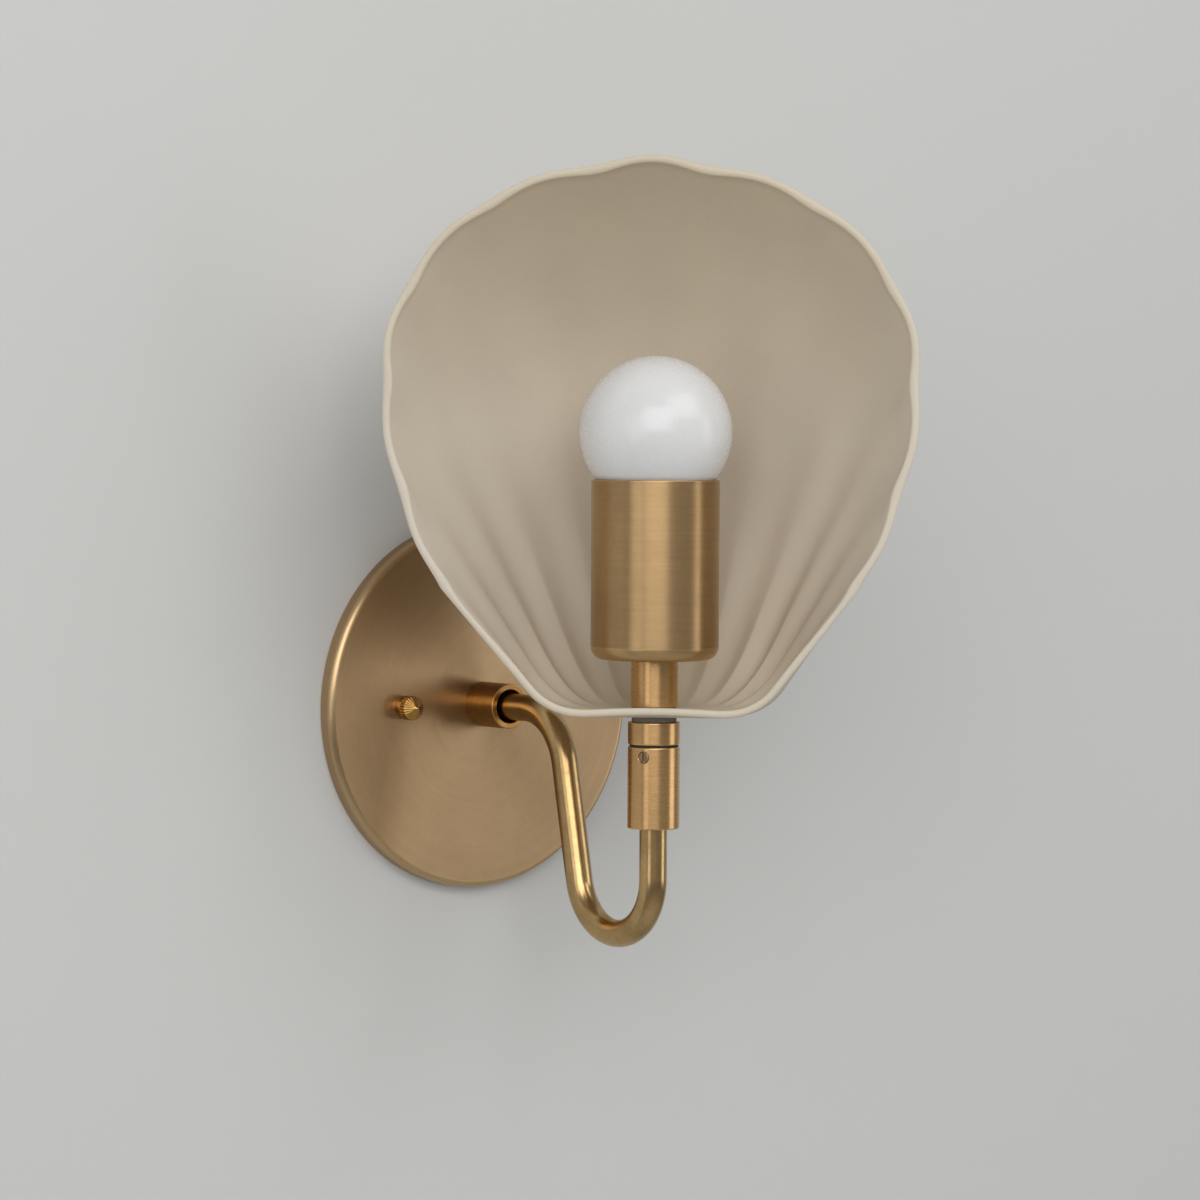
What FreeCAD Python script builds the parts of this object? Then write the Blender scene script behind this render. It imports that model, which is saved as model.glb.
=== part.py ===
"""Shell wall sconce, one light, with a swivelling scallop-shell glass.

Millimetres, +Z up. The wall is the plane Y = 0 and the sconce stands out along -Y. The origin is the
centre of the crossbar's two slots, on the wall. Everything above the swivel turns about one upright
axis, which stands `arm_reach` in front of the wall. At rest the shade faces `shade_turn` degrees to
the left of straight out. Each turned piece is drawn in its own frame, about its own axis, from zero.
"""

import FreeCAD
import Part
import Sketcher
import math
import os

# Driving dimensions, millimetres, degrees and counts. One value each; all else is worked out from them.
SIZES = {
    # canopy: a spun dish that covers the wall box
    "canopy_diameter": 133.35,
    "canopy_depth": 6.5,
    "canopy_metal": 1.0,
    "canopy_corner": 2.2,
    "stud_spacing": 69.85,
    "stud_diameter": 4.17,
    "stud_hole_play": 0.25,
    "stud_grip": 4.8,
    # knurled nuts that hold the canopy on its studs
    "knurled_diameter": 8.75,
    "knurled_length": 6.3,
    "knurled_point": 2.5,
    "knurled_end_gap": 0.5,
    # crossbar on the wall box
    "bar_end": 4.55,
    "bar_width": 19.0,
    "bar_metal": 1.6,
    "bar_corner": 4.0,
    "bar_centre_hole": 10.6,
    "slot_spacing": 88.9,
    "slot_length": 8.0,
    "slot_width": 4.8,
    "stud_nut_flats": 8.7,
    "stud_nut_height": 3.0,
    "ground_screw_place": 17.0,
    "ground_screw_diameter": 4.8,
    "ground_head_flats": 8.0,
    "ground_head_height": 3.0,
    # collar and arm
    "collar_diameter": 16.2,
    "collar_length": 16.6,
    "collar_bore": 12.15,
    "collar_base": 4.0,
    "arm_diameter": 9.525,
    "arm_wall": 1.25,
    "arm_reach": 105.0,
    "arm_bend_radius": 23.0,
    "arm_return_radius": 20.7,
    "arm_return_drop": 54.9,
    "arm_slope": 11.8,
    "arm_insert": 12.0,
    "arm_tail": 0.4,
    "lock_washer": 0.7,
    "lock_washer_diameter": 15.6,
    "lock_nut_flats": 14.0,
    "lock_nut_height": 2.4,
    # swivel: fixed body below, turning ring above, and the screw that locks them
    "swivel_drop": 9.0,
    "swivel_diameter": 17.9,
    "swivel_length": 28.1,
    "swivel_washer": 0.8,
    "swivel_washer_diameter": 16.8,
    "ring_height": 7.7,
    "spigot_diameter": 13.0,
    "spigot_length": 10.4,
    "spigot_play": 0.05,
    "spigot_end_gap": 0.6,
    "wire_hole": 6.4,
    "groove_width": 2.6,
    "groove_depth": 1.3,
    "set_screw_drop": 3.3,
    "set_screw_turn": 63.0,
    "set_screw_diameter": 4.0,
    "set_screw_sunk": 0.25,
    "dog_diameter": 2.0,
    "dog_gap": 0.2,
    "screw_slot": 0.8,
    "swing_turn": 150.0,
    "swing_turn_play": 0.6,
    "edge_break": 0.35,
    # stack on the swivel ring
    "shade_turn": 41.0,
    "lower_washer": 1.9,
    "lower_washer_diameter": 15.4,
    "upper_washer": 0.8,
    "upper_washer_diameter": 15.0,
    "nipple_diameter": 9.8,
    "nipple_wall": 1.6,
    "nipple_play": 0.15,
    "stem_diameter": 16.2,
    "stem_height": 16.1,
    "cup_diameter": 44.0,
    "cup_height": 61.5,
    "cup_wall": 1.0,
    "cup_floor": 1.2,
    "cup_corner": 4.5,
    "cup_nut_flats": 14.3,
    "cup_nut_height": 3.0,
    # lamp socket inside the cup
    "bracket_boss_diameter": 14.0,
    "bracket_boss_height": 5.0,
    "bracket_plate_diameter": 24.0,
    "bracket_plate": 1.2,
    "socket_diameter": 37.0,
    "socket_height": 44.0,
    "socket_base": 10.0,
    "screw_shell_metal": 0.4,
    "screw_shell_length": 22.0,
    "screw_shell_play": 0.1,
    "screw_shell_lip": 4.0,
    "contact_diameter": 8.0,
    "contact_height": 3.4,
    "terminal_place": 15.6,
    "terminal_head_diameter": 5.0,
    "terminal_head_height": 2.0,
    "terminal_shank_diameter": 3.0,
    "terminal_shank_length": 5.0,
    # globe bulb
    "bulb_diameter": 52.4,
    "bulb_length": 80.0,
    "bulb_glass": 0.9,
    "bulb_neck_diameter": 24.6,
    "bulb_gap": 0.1,
    "bulb_base_diameter": 26.0,
    "bulb_base_metal": 0.4,
    "bulb_base_top": 26.0,
    "bulb_base_bottom": 5.2,
    "bulb_tip_diameter": 9.4,
    "bulb_tip_height": 1.0,
    "bulb_insulator_top": 22.0,
    "inner_stem_diameter": 9.0,
    "inner_stem_length": 26.0,
    "filament_length": 26.0,
    "filament_diameter": 2.0,
    # scallop-shell glass; heights are above the underside of its floor
    "glass": 2.7,
    "glass_floor": 2.6,
    "glass_hole_play": 0.5,
    "rim_forward": 15.0,
    "rim_aside": 1.6,
    "floor_radius": 21.0,
    "corner_radius": 14.1,
    "bowl_bulge": 43.0,
    "bowl_fullness": 2.4,
    "flute_count": 11,
    "flute_depth": 3.0,
    "flute_depth_rim": 1.1,
    "crown_up": 189.6,
    "crease_1_out": 19.0,
    "crease_1_up": 187.2,
    "crease_2_out": 55.2,
    "crease_2_up": 175.2,
    "crease_3_out": 82.5,
    "crease_3_up": 147.2,
    "crease_4_out": 90.6,
    "crease_4_up": 113.6,
    "crease_5_out": 85.1,
    "crease_5_up": 76.6,
    "rim_end_out": 70.8,
    "rim_end_up": 43.9,
}

FIRST_SHEET_ROW = 2

# Where an outline's points stand before its constraints place them.
DRAWN_AT = 100
DRAWN_RADIUS = 10

# How closely an edge's radius and height must match the ones asked for.
SAME = 1e-4

# The glass's surfaces: points across a flute and from floor to rim, and how its formula is shaped.
SAMPLES_PER_FLUTE = 6
ROWS_UP_THE_FLUTE = 12
FOOT_SHARE = 0.34
FLUTE_FULL_AT = 0.3
RIM_MARGIN = 0.97
RIM_BLEND = 6
SIDE_BLEND = 16
SLOPE_STEP = 1e-3

doc = FreeCAD.newDocument("shell_wall_sconce")
parts = []


# ---------------------------------------------------------------- sheet and expressions

def make_sheet():
    """One row per driving dimension: its name in column A, its value in column B."""
    sheet = doc.addObject("Spreadsheet::Sheet", "dim")
    for row, (name, value) in enumerate(SIZES.items(), FIRST_SHEET_ROW):
        sheet.set(f"A{row}", name)
        sheet.set(f"B{row}", str(value))
        sheet.setAlias(f"B{row}", name)
    doc.recompute()
    return sheet


dim = make_sheet()


def size(name):
    """The value of one driving dimension, read from the sheet."""
    return float(getattr(dim, name))


def total(*terms):
    """An expression that adds its terms."""
    return "(" + " + ".join(terms) + ")"


def half(term):
    return f"({term}) / 2"


# Heights on the swivel axis, from the bottom of the stack upwards.
SWIVEL_TOP = "(-dim.swivel_drop)"
RING_BASE = total(SWIVEL_TOP, "dim.swivel_washer")
LOWER_WASHER_BASE = total(RING_BASE, "dim.ring_height")
GLASS_BASE = total(LOWER_WASHER_BASE, "dim.lower_washer")
UPPER_WASHER_BASE = total(GLASS_BASE, "dim.glass_floor")
STEM_BASE = total(UPPER_WASHER_BASE, "dim.upper_washer")
CUP_BASE = total(STEM_BASE, "dim.stem_height")
CUP_NUT_BASE = total(CUP_BASE, "dim.cup_floor")
BRACKET_BASE = total(CUP_NUT_BASE, "dim.cup_nut_height")
SOCKET_BASE = total(BRACKET_BASE, "dim.bracket_boss_height", "dim.bracket_plate")
SHELL_BASE = total(SOCKET_BASE, "dim.socket_base")
BULB_BASE = total(SHELL_BASE, "dim.contact_height", "dim.bulb_gap")
NIPPLE_LENGTH = total("dim.ring_height", "dim.lower_washer", "dim.glass_floor", "dim.upper_washer",
                      "dim.stem_height", "dim.cup_floor", "dim.cup_nut_height", "dim.bracket_boss_height")
NIPPLE_HOLE = total(half("dim.nipple_diameter"), "dim.nipple_play")
GLASS_HOLE = total(half("dim.nipple_diameter"), "dim.glass_hole_play")


# ---------------------------------------------------------------- sketches and features

def new_body(label):
    body = doc.addObject("PartDesign::Body", label)
    body.Label = label
    parts.append(body)
    return body


def new_sketch(body, name, role, lift=None):
    """A sketch on one of the body's own origin planes, lifted along the plane's normal if asked."""
    plane = next(item for item in body.Origin.OriginFeatures if item.Role == role)
    sketch = body.newObject("Sketcher::SketchObject", f"{body.Name}_{name}")
    sketch.AttachmentSupport = (plane, [""])
    sketch.MapMode = "FlatFace"
    if lift:
        sketch.setExpression("AttachmentOffset.Base.z", lift)
    return sketch


def place_point(sketch, item, position, across, up):
    """Holds one point of a sketch item at the given expressions, measured from the sketch's origin."""
    for kind, axis, term in (("DistanceX", -2, across), ("DistanceY", -1, up)):
        if term == "0":
            sketch.addConstraint(Sketcher.Constraint("PointOnObject", item, position, axis))
            continue
        here = sketch.getPoint(item, position)
        drawn = here.x if kind == "DistanceX" else here.y
        index = sketch.addConstraint(Sketcher.Constraint(kind, -1, 1, item, position, drawn))
        sketch.setExpression(f"Constraints[{index}]", term)


def outline(sketch, corners):
    """A closed outline of straight lines through corners given as (across, up) expressions."""
    count = len(corners)
    first = sketch.GeometryCount
    start = []
    for number in range(count):
        angle = 2 * math.pi * number / count
        start.append(FreeCAD.Vector(DRAWN_AT + DRAWN_RADIUS * math.cos(angle),
                                    DRAWN_AT + DRAWN_RADIUS * math.sin(angle), 0))
    for number in range(count):
        sketch.addGeometry(Part.LineSegment(start[number], start[(number + 1) % count]), False)
    for number in range(count):
        following = first + (number + 1) % count
        sketch.addConstraint(Sketcher.Constraint("Coincident", first + number, 2, following, 1))
    for number, (across, up) in enumerate(corners):
        place_point(sketch, first + number, 1, across, up)


def circle(sketch, across, up, diameter):
    """A circle with its centre and diameter given as expressions."""
    centre = FreeCAD.Vector(DRAWN_AT, DRAWN_AT, 0)
    item = sketch.addGeometry(Part.Circle(centre, FreeCAD.Vector(0, 0, 1), DRAWN_RADIUS), False)
    place_point(sketch, item, 3, across, up)
    index = sketch.addConstraint(Sketcher.Constraint("Diameter", item, 2.0 * DRAWN_RADIUS))
    sketch.setExpression(f"Constraints[{index}]", diameter)


def slot(sketch, centre, length, width):
    """A round-ended slot that lies along the sketch's X axis; all three as expressions."""
    reach = (size("slot_length") - size("slot_width")) / 2
    near = FreeCAD.Vector(size("slot_spacing") / 2 - reach, 0, 0)
    far = near + FreeCAD.Vector(2 * reach, 0, 0)
    radius = size("slot_width") / 2
    rise = FreeCAD.Vector(0, radius, 0)
    axis = FreeCAD.Vector(0, 0, 1)
    left = sketch.addGeometry(Part.ArcOfCircle(Part.Circle(near, axis, radius), math.pi / 2, 3 * math.pi / 2))
    right = sketch.addGeometry(Part.ArcOfCircle(Part.Circle(far, axis, radius), -math.pi / 2, math.pi / 2))
    top = sketch.addGeometry(Part.LineSegment(near + rise, far + rise))
    bottom = sketch.addGeometry(Part.LineSegment(near - rise, far - rise))
    for first, end, second, start in ((left, 1, top, 1), (right, 2, top, 2), (left, 2, bottom, 1),
                                      (right, 1, bottom, 2)):
        sketch.addConstraint(Sketcher.Constraint("Tangent", first, end, second, start))
    sketch.addConstraint(Sketcher.Constraint("Equal", left, right))
    place_point(sketch, left, 3, f"{centre} - ({length} - {width}) / 2", "0")
    place_point(sketch, right, 3, f"{centre} + ({length} - {width}) / 2", "0")
    index = sketch.addConstraint(Sketcher.Constraint("Radius", left, radius))
    sketch.setExpression(f"Constraints[{index}]", half(width))


def hexagon(sketch, flats):
    """A hexagon about the sketch's origin, sized across its flats."""
    corner = f"{flats} / sqrt(3)"
    outline(sketch, [
        (corner, "0"),
        (f"{corner} / 2", half(flats)),
        (f"-{corner} / 2", half(flats)),
        (f"-{corner}", "0"),
        (f"-{corner} / 2", f"-{half(flats)}"),
        (f"{corner} / 2", f"-{half(flats)}"),
    ])


def revolve(body, sketch, name="turned"):
    feature = body.newObject("PartDesign::Revolution", f"{body.Name}_{name}")
    feature.Profile = sketch
    feature.ReferenceAxis = (sketch, ["V_Axis"])
    feature.Angle = 360
    sketch.Visibility = False
    doc.recompute()
    return feature


def pad(body, sketch, length, name="pad"):
    feature = body.newObject("PartDesign::Pad", f"{body.Name}_{name}")
    feature.Profile = sketch
    feature.setExpression("Length", length)
    doc.recompute()
    return feature


def pocket(body, sketch, length, name, backwards=False):
    """A pocket of the given depth; it stops the build if it takes nothing away."""
    before = body.Shape.Volume
    feature = body.newObject("PartDesign::Pocket", f"{body.Name}_{name}")
    feature.Profile = sketch
    feature.setExpression("Length", length)
    feature.Reversed = backwards
    doc.recompute()
    if not body.Shape.Volume < before:
        raise RuntimeError(f"{body.Label}: {name} cuts nothing")
    return feature


def round_edges(body, edges, radius, name, kind="PartDesign::Fillet"):
    """Fillets or chamfers the circular edges listed as (radius, height) pairs of the body's own frame."""
    base = body.Tip
    chosen = []
    for number, edge in enumerate(base.Shape.Edges, 1):
        if not isinstance(edge.Curve, Part.Circle):
            continue
        centre = edge.Curve.Center
        for edge_radius, height in edges:
            if abs(edge.Curve.Radius - edge_radius) < SAME and abs(centre.z - height) < SAME:
                chosen.append(f"Edge{number}")
    if len(chosen) < len(edges):
        raise RuntimeError(f"{body.Label}: {name} finds {len(chosen)} of {len(edges)} edges")
    feature = body.newObject(kind, f"{body.Name}_{name}")
    feature.Base = (base, chosen)
    feature.setExpression("Radius" if kind.endswith("Fillet") else "Size", radius)
    doc.recompute()
    return feature


def turned(label, corners):
    """A body turned about its own Z axis from an outline of (radius, height) expressions."""
    body = new_body(label)
    sketch = new_sketch(body, "outline", "XZ_Plane")
    outline(sketch, corners)
    revolve(body, sketch)
    return body


def tube_outline(inner, outer, height):
    return [(inner, "0"), (outer, "0"), (outer, height), (inner, height)]


def nut(label, flats, hole_radius, height):
    """A hexagon nut, drawn about its own Z axis."""
    body = new_body(label)
    sketch = new_sketch(body, "outline", "XY_Plane")
    hexagon(sketch, flats)
    circle(sketch, "0", "0", f"2 * ({hole_radius})")
    pad(body, sketch, height)
    return body


# ---------------------------------------------------------------- where pieces stand

def bind_place(part, across, forward, up):
    """Binds a part's place: across is X, forward is the distance out from the wall, up is Z."""
    for axis, term in (("x", across), ("y", f"-({forward})"), ("z", up)):
        if term not in ("0", "-(0)"):
            part.setExpression(f"Placement.Base.{axis}", term)


def on_wall_axis(part, across, forward, up="0"):
    """Turns the part's own Z axis to point straight out from the wall."""
    part.Placement = FreeCAD.Placement(FreeCAD.Vector(), FreeCAD.Rotation(FreeCAD.Vector(1, 0, 0), 90))
    bind_place(part, across, forward, up)


def on_swivel_axis(part, up, turn=None):
    """Stands the part on the swivel axis at a height, turned to the left about the axis if asked."""
    down = FreeCAD.Vector(0, 0, -1)
    part.Placement = FreeCAD.Placement(FreeCAD.Vector(), FreeCAD.Rotation(down, 1 if turn else 0))
    if turn:
        part.setExpression("Placement.Rotation.Angle", turn)
    bind_place(part, "0", "dim.arm_reach", up)


# ---------------------------------------------------------------- wall side

def make_canopy():
    """A spun dish: flat face, rolled edge, a hole for the arm and one for each stud."""
    outer = half("dim.canopy_diameter")
    inner = f"{outer} - dim.canopy_metal"
    under = "dim.canopy_depth - dim.canopy_metal"
    arm_hole = total(half("dim.arm_diameter"), "dim.stud_hole_play")
    body = turned("canopy", [
        (arm_hole, under),
        (inner, under),
        (inner, "0"),
        (outer, "0"),
        (outer, "dim.canopy_depth"),
        (arm_hole, "dim.canopy_depth"),
    ])
    round_edges(body, [(size("canopy_diameter") / 2, size("canopy_depth"))], "dim.canopy_corner", "rolled")
    inner_radius = size("canopy_diameter") / 2 - size("canopy_metal")
    inner_height = size("canopy_depth") - size("canopy_metal")
    round_edges(body, [(inner_radius, inner_height)], "dim.canopy_corner - dim.canopy_metal", "rolled_inside")
    holes = new_sketch(body, "stud_holes", "XY_Plane", "dim.canopy_depth")
    hole = total("dim.stud_diameter", "2 * dim.stud_hole_play")
    circle(holes, half("dim.stud_spacing"), "0", hole)
    circle(holes, f"-{half('dim.stud_spacing')}", "0", hole)
    pocket(body, holes, "2 * dim.canopy_metal", "stud_holes_cut")
    on_wall_axis(body, "0", "0")


def make_crossbar():
    """A strap with a centre hole for the wires, two threaded stud holes and a slot near each end."""
    body = new_body("crossbar")
    plate = new_sketch(body, "plate", "XY_Plane")
    end = f"({half('dim.slot_spacing + dim.slot_length')} + dim.bar_end)"
    side = half("dim.bar_width")
    outline(plate, [(end, side), (f"-{end}", side), (f"-{end}", f"-{side}"), (end, f"-{side}")])
    circle(plate, "0", "0", "dim.bar_centre_hole")
    circle(plate, half("dim.stud_spacing"), "0", "dim.stud_diameter")
    circle(plate, f"-{half('dim.stud_spacing')}", "0", "dim.stud_diameter")
    circle(plate, "dim.ground_screw_place", "0", "dim.ground_screw_diameter")
    plain = pad(body, plate, "dim.bar_metal", "plate_pad")
    corners = []
    reach = (size("slot_spacing") + size("slot_length")) / 2 + size("bar_end")
    for number, edge in enumerate(plain.Shape.Edges, 1):
        middle = edge.CenterOfMass
        at_the_end = abs(abs(middle.x) - reach) < SAME
        if at_the_end and abs(middle.z - size("bar_metal") / 2) < SAME:
            corners.append(f"Edge{number}")
    fillet = body.newObject("PartDesign::Fillet", "crossbar_corners")
    fillet.Base = (plain, corners)
    fillet.setExpression("Radius", "dim.bar_corner")
    doc.recompute()
    slots = new_sketch(body, "slots", "XY_Plane", "dim.bar_metal")
    slot(slots, half("dim.slot_spacing"), "dim.slot_length", "dim.slot_width")
    slot_cut = pocket(body, slots, "dim.bar_metal", "slots_cut")
    mirror = body.newObject("PartDesign::Mirrored", "crossbar_slots_mirrored")
    mirror.Originals = [slot_cut]
    plane = next(item for item in body.Origin.OriginFeatures if item.Role == "YZ_Plane")
    mirror.MirrorPlane = (plane, [""])
    body.Tip = mirror
    doc.recompute()
    on_wall_axis(body, "0", "0")


def make_studs():
    """Two headless studs that start flush with the crossbar's back, each with its lock nut."""
    for name, side in (("left", "-"), ("right", "")):
        place = side + half("dim.stud_spacing")
        stud = turned(f"stud_{name}", [
            ("0", "0"),
            (half("dim.stud_diameter"), "0"),
            (half("dim.stud_diameter"), "dim.canopy_depth + dim.stud_grip"),
            ("0", "dim.canopy_depth + dim.stud_grip"),
        ])
        on_wall_axis(stud, place, "0")
        lock = nut(f"stud_nut_{name}", "dim.stud_nut_flats", half("dim.stud_diameter"), "dim.stud_nut_height")
        on_wall_axis(lock, place, "dim.bar_metal")


def make_knurled_nuts():
    """Closed nuts with a pointed end; they screw down on the canopy's face."""
    radius = half("dim.knurled_diameter")
    bore = total(half("dim.stud_diameter"), "dim.spigot_play")
    depth = "dim.stud_grip + dim.knurled_end_gap"
    for name, side in (("left", "-"), ("right", "")):
        body = turned(f"knurled_nut_{name}", [
            (bore, "0"),
            (radius, "0"),
            (radius, "dim.knurled_length"),
            ("0", "dim.knurled_length + dim.knurled_point"),
            ("0", depth),
            (bore, depth),
        ])
        on_wall_axis(body, side + half("dim.stud_spacing"), "dim.canopy_depth")


def make_ground_screw():
    """A hexagon-headed screw in the crossbar."""
    body = new_body("ground_screw")
    head = new_sketch(body, "head", "XY_Plane", "dim.bar_metal")
    hexagon(head, "dim.ground_head_flats")
    pad(body, head, "dim.ground_head_height", "head_pad")
    shank = new_sketch(body, "shank", "XY_Plane")
    circle(shank, "0", "0", "dim.ground_screw_diameter")
    pad(body, shank, "dim.bar_metal", "shank_pad")
    on_wall_axis(body, "dim.ground_screw_place", "0")


def make_collar():
    """A turned collar on the canopy: its base holds the arm, its wide bore leaves a gap round it."""
    hold = half("dim.arm_diameter")
    bore = half("dim.collar_bore")
    radius = half("dim.collar_diameter")
    body = turned("arm_collar", [
        (hold, "0"),
        (radius, "0"),
        (radius, "dim.collar_length"),
        (bore, "dim.collar_length"),
        (bore, "dim.collar_base"),
        (hold, "dim.collar_base"),
    ])
    mouth = [(size(across) / 2, size("collar_length")) for across in ("collar_diameter", "collar_bore")]
    round_edges(body, mouth, "dim.edge_break", "broken_edges", "PartDesign::Chamfer")
    on_wall_axis(body, "0", "dim.canopy_depth")


def make_arm_clamp():
    """Washer and hexagon nut that pull the arm and its collar against the canopy from inside."""
    under = "dim.canopy_depth - dim.canopy_metal"
    hold = half("dim.arm_diameter")
    outer = half("dim.lock_washer_diameter")
    washer = turned("arm_lock_washer", tube_outline(hold, outer, "dim.lock_washer"))
    on_wall_axis(washer, "0", f"{under} - dim.lock_washer")
    lock = nut("arm_lock_nut", "dim.lock_nut_flats", hold, "dim.lock_nut_height")
    on_wall_axis(lock, "0", f"{under} - dim.lock_washer - dim.lock_nut_height")


def arm_corners():
    """Start, bend and return points of the arm's centre line as (out from wall, up) pairs, in order."""
    slope = math.radians(size("arm_slope"))
    turn = math.pi / 2 - slope
    ring = size("arm_return_radius")
    drop = size("arm_return_drop")
    centre = size("arm_reach") - ring
    leg_foot = (centre - ring * math.cos(slope), -drop - ring * math.sin(slope))
    corner = leg_foot[0] + math.tan(slope) * leg_foot[1]
    reach = size("arm_bend_radius") * math.tan(turn / 2)
    tail = size("canopy_depth") - size("canopy_metal") - size("lock_washer") - size("lock_nut_height")
    start = (tail - size("arm_tail"), 0)
    bend_start = (corner - reach, 0)
    leg_top = (corner + reach * math.sin(slope), -reach * math.cos(slope))
    return_end = (size("arm_reach"), -drop)
    end = (size("arm_reach"), size("arm_insert") - size("swivel_drop") - size("swivel_length"))
    return start, bend_start, leg_top, leg_foot, return_end, end, slope


def make_arm():
    """The bent tube: straight out, down a slanted leg, round the return and up into the swivel."""
    start, bend_start, leg_top, leg_foot, return_end, end, slope = arm_corners()
    body = new_body("arm_tube")
    path = new_sketch(body, "path", "YZ_Plane")

    def at(point):
        return FreeCAD.Vector(-point[0], point[1], 0)

    bend_radius = size("arm_bend_radius")
    return_radius = size("arm_return_radius")
    normal = FreeCAD.Vector(0, 0, 1)
    bend_centre = at((bend_start[0], -bend_radius))
    return_centre = at((size("arm_reach") - return_radius, return_end[1]))
    out = path.addGeometry(Part.LineSegment(at(start), at(bend_start)))
    bend = path.addGeometry(Part.ArcOfCircle(Part.Circle(bend_centre, normal, bend_radius),
                                             math.pi / 2, math.pi - slope))
    leg = path.addGeometry(Part.LineSegment(at(leg_top), at(leg_foot)))
    back = path.addGeometry(Part.ArcOfCircle(Part.Circle(return_centre, normal, return_radius),
                                             math.pi, 2 * math.pi - slope))
    rise = path.addGeometry(Part.LineSegment(at(return_end), at(end)))
    for first, first_end, second, second_end in ((out, 2, bend, 1), (bend, 2, leg, 1), (leg, 2, back, 2),
                                                 (back, 1, rise, 1)):
        path.addConstraint(Sketcher.Constraint("Tangent", first, first_end, second, second_end))
    tail = "dim.canopy_depth - dim.canopy_metal - dim.lock_washer - dim.lock_nut_height - dim.arm_tail"
    place_point(path, out, 1, f"-({tail})", "0")
    path.addConstraint(Sketcher.Constraint("Horizontal", out))
    path.addConstraint(Sketcher.Constraint("Vertical", rise))
    place_point(path, rise, 2, "-dim.arm_reach", "dim.arm_insert - dim.swivel_drop - dim.swivel_length")
    drop = path.addConstraint(Sketcher.Constraint("DistanceY", -1, 1, back, 3, return_end[1]))
    path.setExpression(f"Constraints[{drop}]", "-dim.arm_return_drop")
    for item, radius, term in ((bend, bend_radius, "dim.arm_bend_radius"),
                               (back, return_radius, "dim.arm_return_radius")):
        index = path.addConstraint(Sketcher.Constraint("Radius", item, radius))
        path.setExpression(f"Constraints[{index}]", term)
    angle = path.addConstraint(Sketcher.Constraint("Angle", leg, -math.pi / 2 - slope))
    path.setExpression(f"Constraints[{angle}]", "-(90 + dim.arm_slope) * 1 deg")
    section = new_sketch(body, "section", "XZ_Plane", tail)
    circle(section, "0", "0", "dim.arm_diameter")
    circle(section, "0", "0", "dim.arm_diameter - 2 * dim.arm_wall")
    pipe = body.newObject("PartDesign::AdditivePipe", "arm_tube_pipe")
    pipe.Profile = section
    pipe.Spine = (path, [])
    doc.recompute()


# ---------------------------------------------------------------- swivel

def make_swivel_body():
    """The fixed half: the arm's end below, the spigot's socket above, a wire hole between them."""
    hold = half("dim.arm_diameter")
    radius = half("dim.swivel_diameter")
    socket = total(half("dim.spigot_diameter"), "dim.spigot_play")
    socket_floor = "dim.swivel_length - dim.spigot_length - dim.spigot_end_gap"
    wires = half("dim.wire_hole")
    body = turned("swivel_body", [
        (hold, "0"),
        (radius, "0"),
        (radius, "dim.swivel_length"),
        (socket, "dim.swivel_length"),
        (socket, socket_floor),
        (wires, socket_floor),
        (wires, "dim.arm_insert"),
        (hold, "dim.arm_insert"),
    ])
    outer = size("swivel_diameter") / 2
    round_edges(body, [(outer, 0), (outer, size("swivel_length"))], "dim.edge_break", "broken_edges",
                "PartDesign::Chamfer")
    hole = new_sketch(body, "screw_hole", "XZ_Plane")
    circle(hole, "0", "dim.swivel_length - dim.set_screw_drop", "dim.set_screw_diameter")
    pocket(body, hole, "dim.swivel_diameter", "screw_hole_cut", backwards=True)
    on_swivel_axis(body, f"{SWIVEL_TOP} - dim.swivel_length", "dim.set_screw_turn")


def make_set_screw():
    """A slotted screw whose dog point stands in the turning spigot's groove."""
    face = "(dim.swivel_diameter / 2 - dim.set_screw_sunk)"
    groove_floor = "(dim.spigot_diameter / 2 - dim.groove_depth + dim.dog_gap)"
    shoulder = "(dim.spigot_diameter / 2 + dim.spigot_play)"
    body = new_body("set_screw")
    profile = new_sketch(body, "outline", "XY_Plane")
    outline(profile, [
        ("0", f"-{face}"),
        (half("dim.set_screw_diameter"), f"-{face}"),
        (half("dim.set_screw_diameter"), f"-{shoulder}"),
        (half("dim.dog_diameter"), f"-{shoulder}"),
        (half("dim.dog_diameter"), f"-{groove_floor}"),
        ("0", f"-{groove_floor}"),
    ])
    revolve(body, profile)
    cut = new_sketch(body, "slot", "XZ_Plane", face)
    side = half("dim.screw_slot")
    reach = "dim.set_screw_diameter"
    outline(cut, [(side, reach), (f"-{side}", reach), (f"-{side}", f"-{reach}"), (side, f"-{reach}")])
    pocket(body, cut, "dim.screw_slot", "slot_cut")
    on_swivel_axis(body, f"{SWIVEL_TOP} - dim.set_screw_drop", "dim.set_screw_turn")


def make_swivel_washer():
    """A thin fibre washer, a little smaller than its neighbours, that shows as a dark line."""
    inner = total(half("dim.spigot_diameter"), "dim.spigot_play")
    outer = half("dim.swivel_washer_diameter")
    body = turned("swivel_washer", tube_outline(inner, outer, "dim.swivel_washer"))
    on_swivel_axis(body, SWIVEL_TOP)


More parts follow.
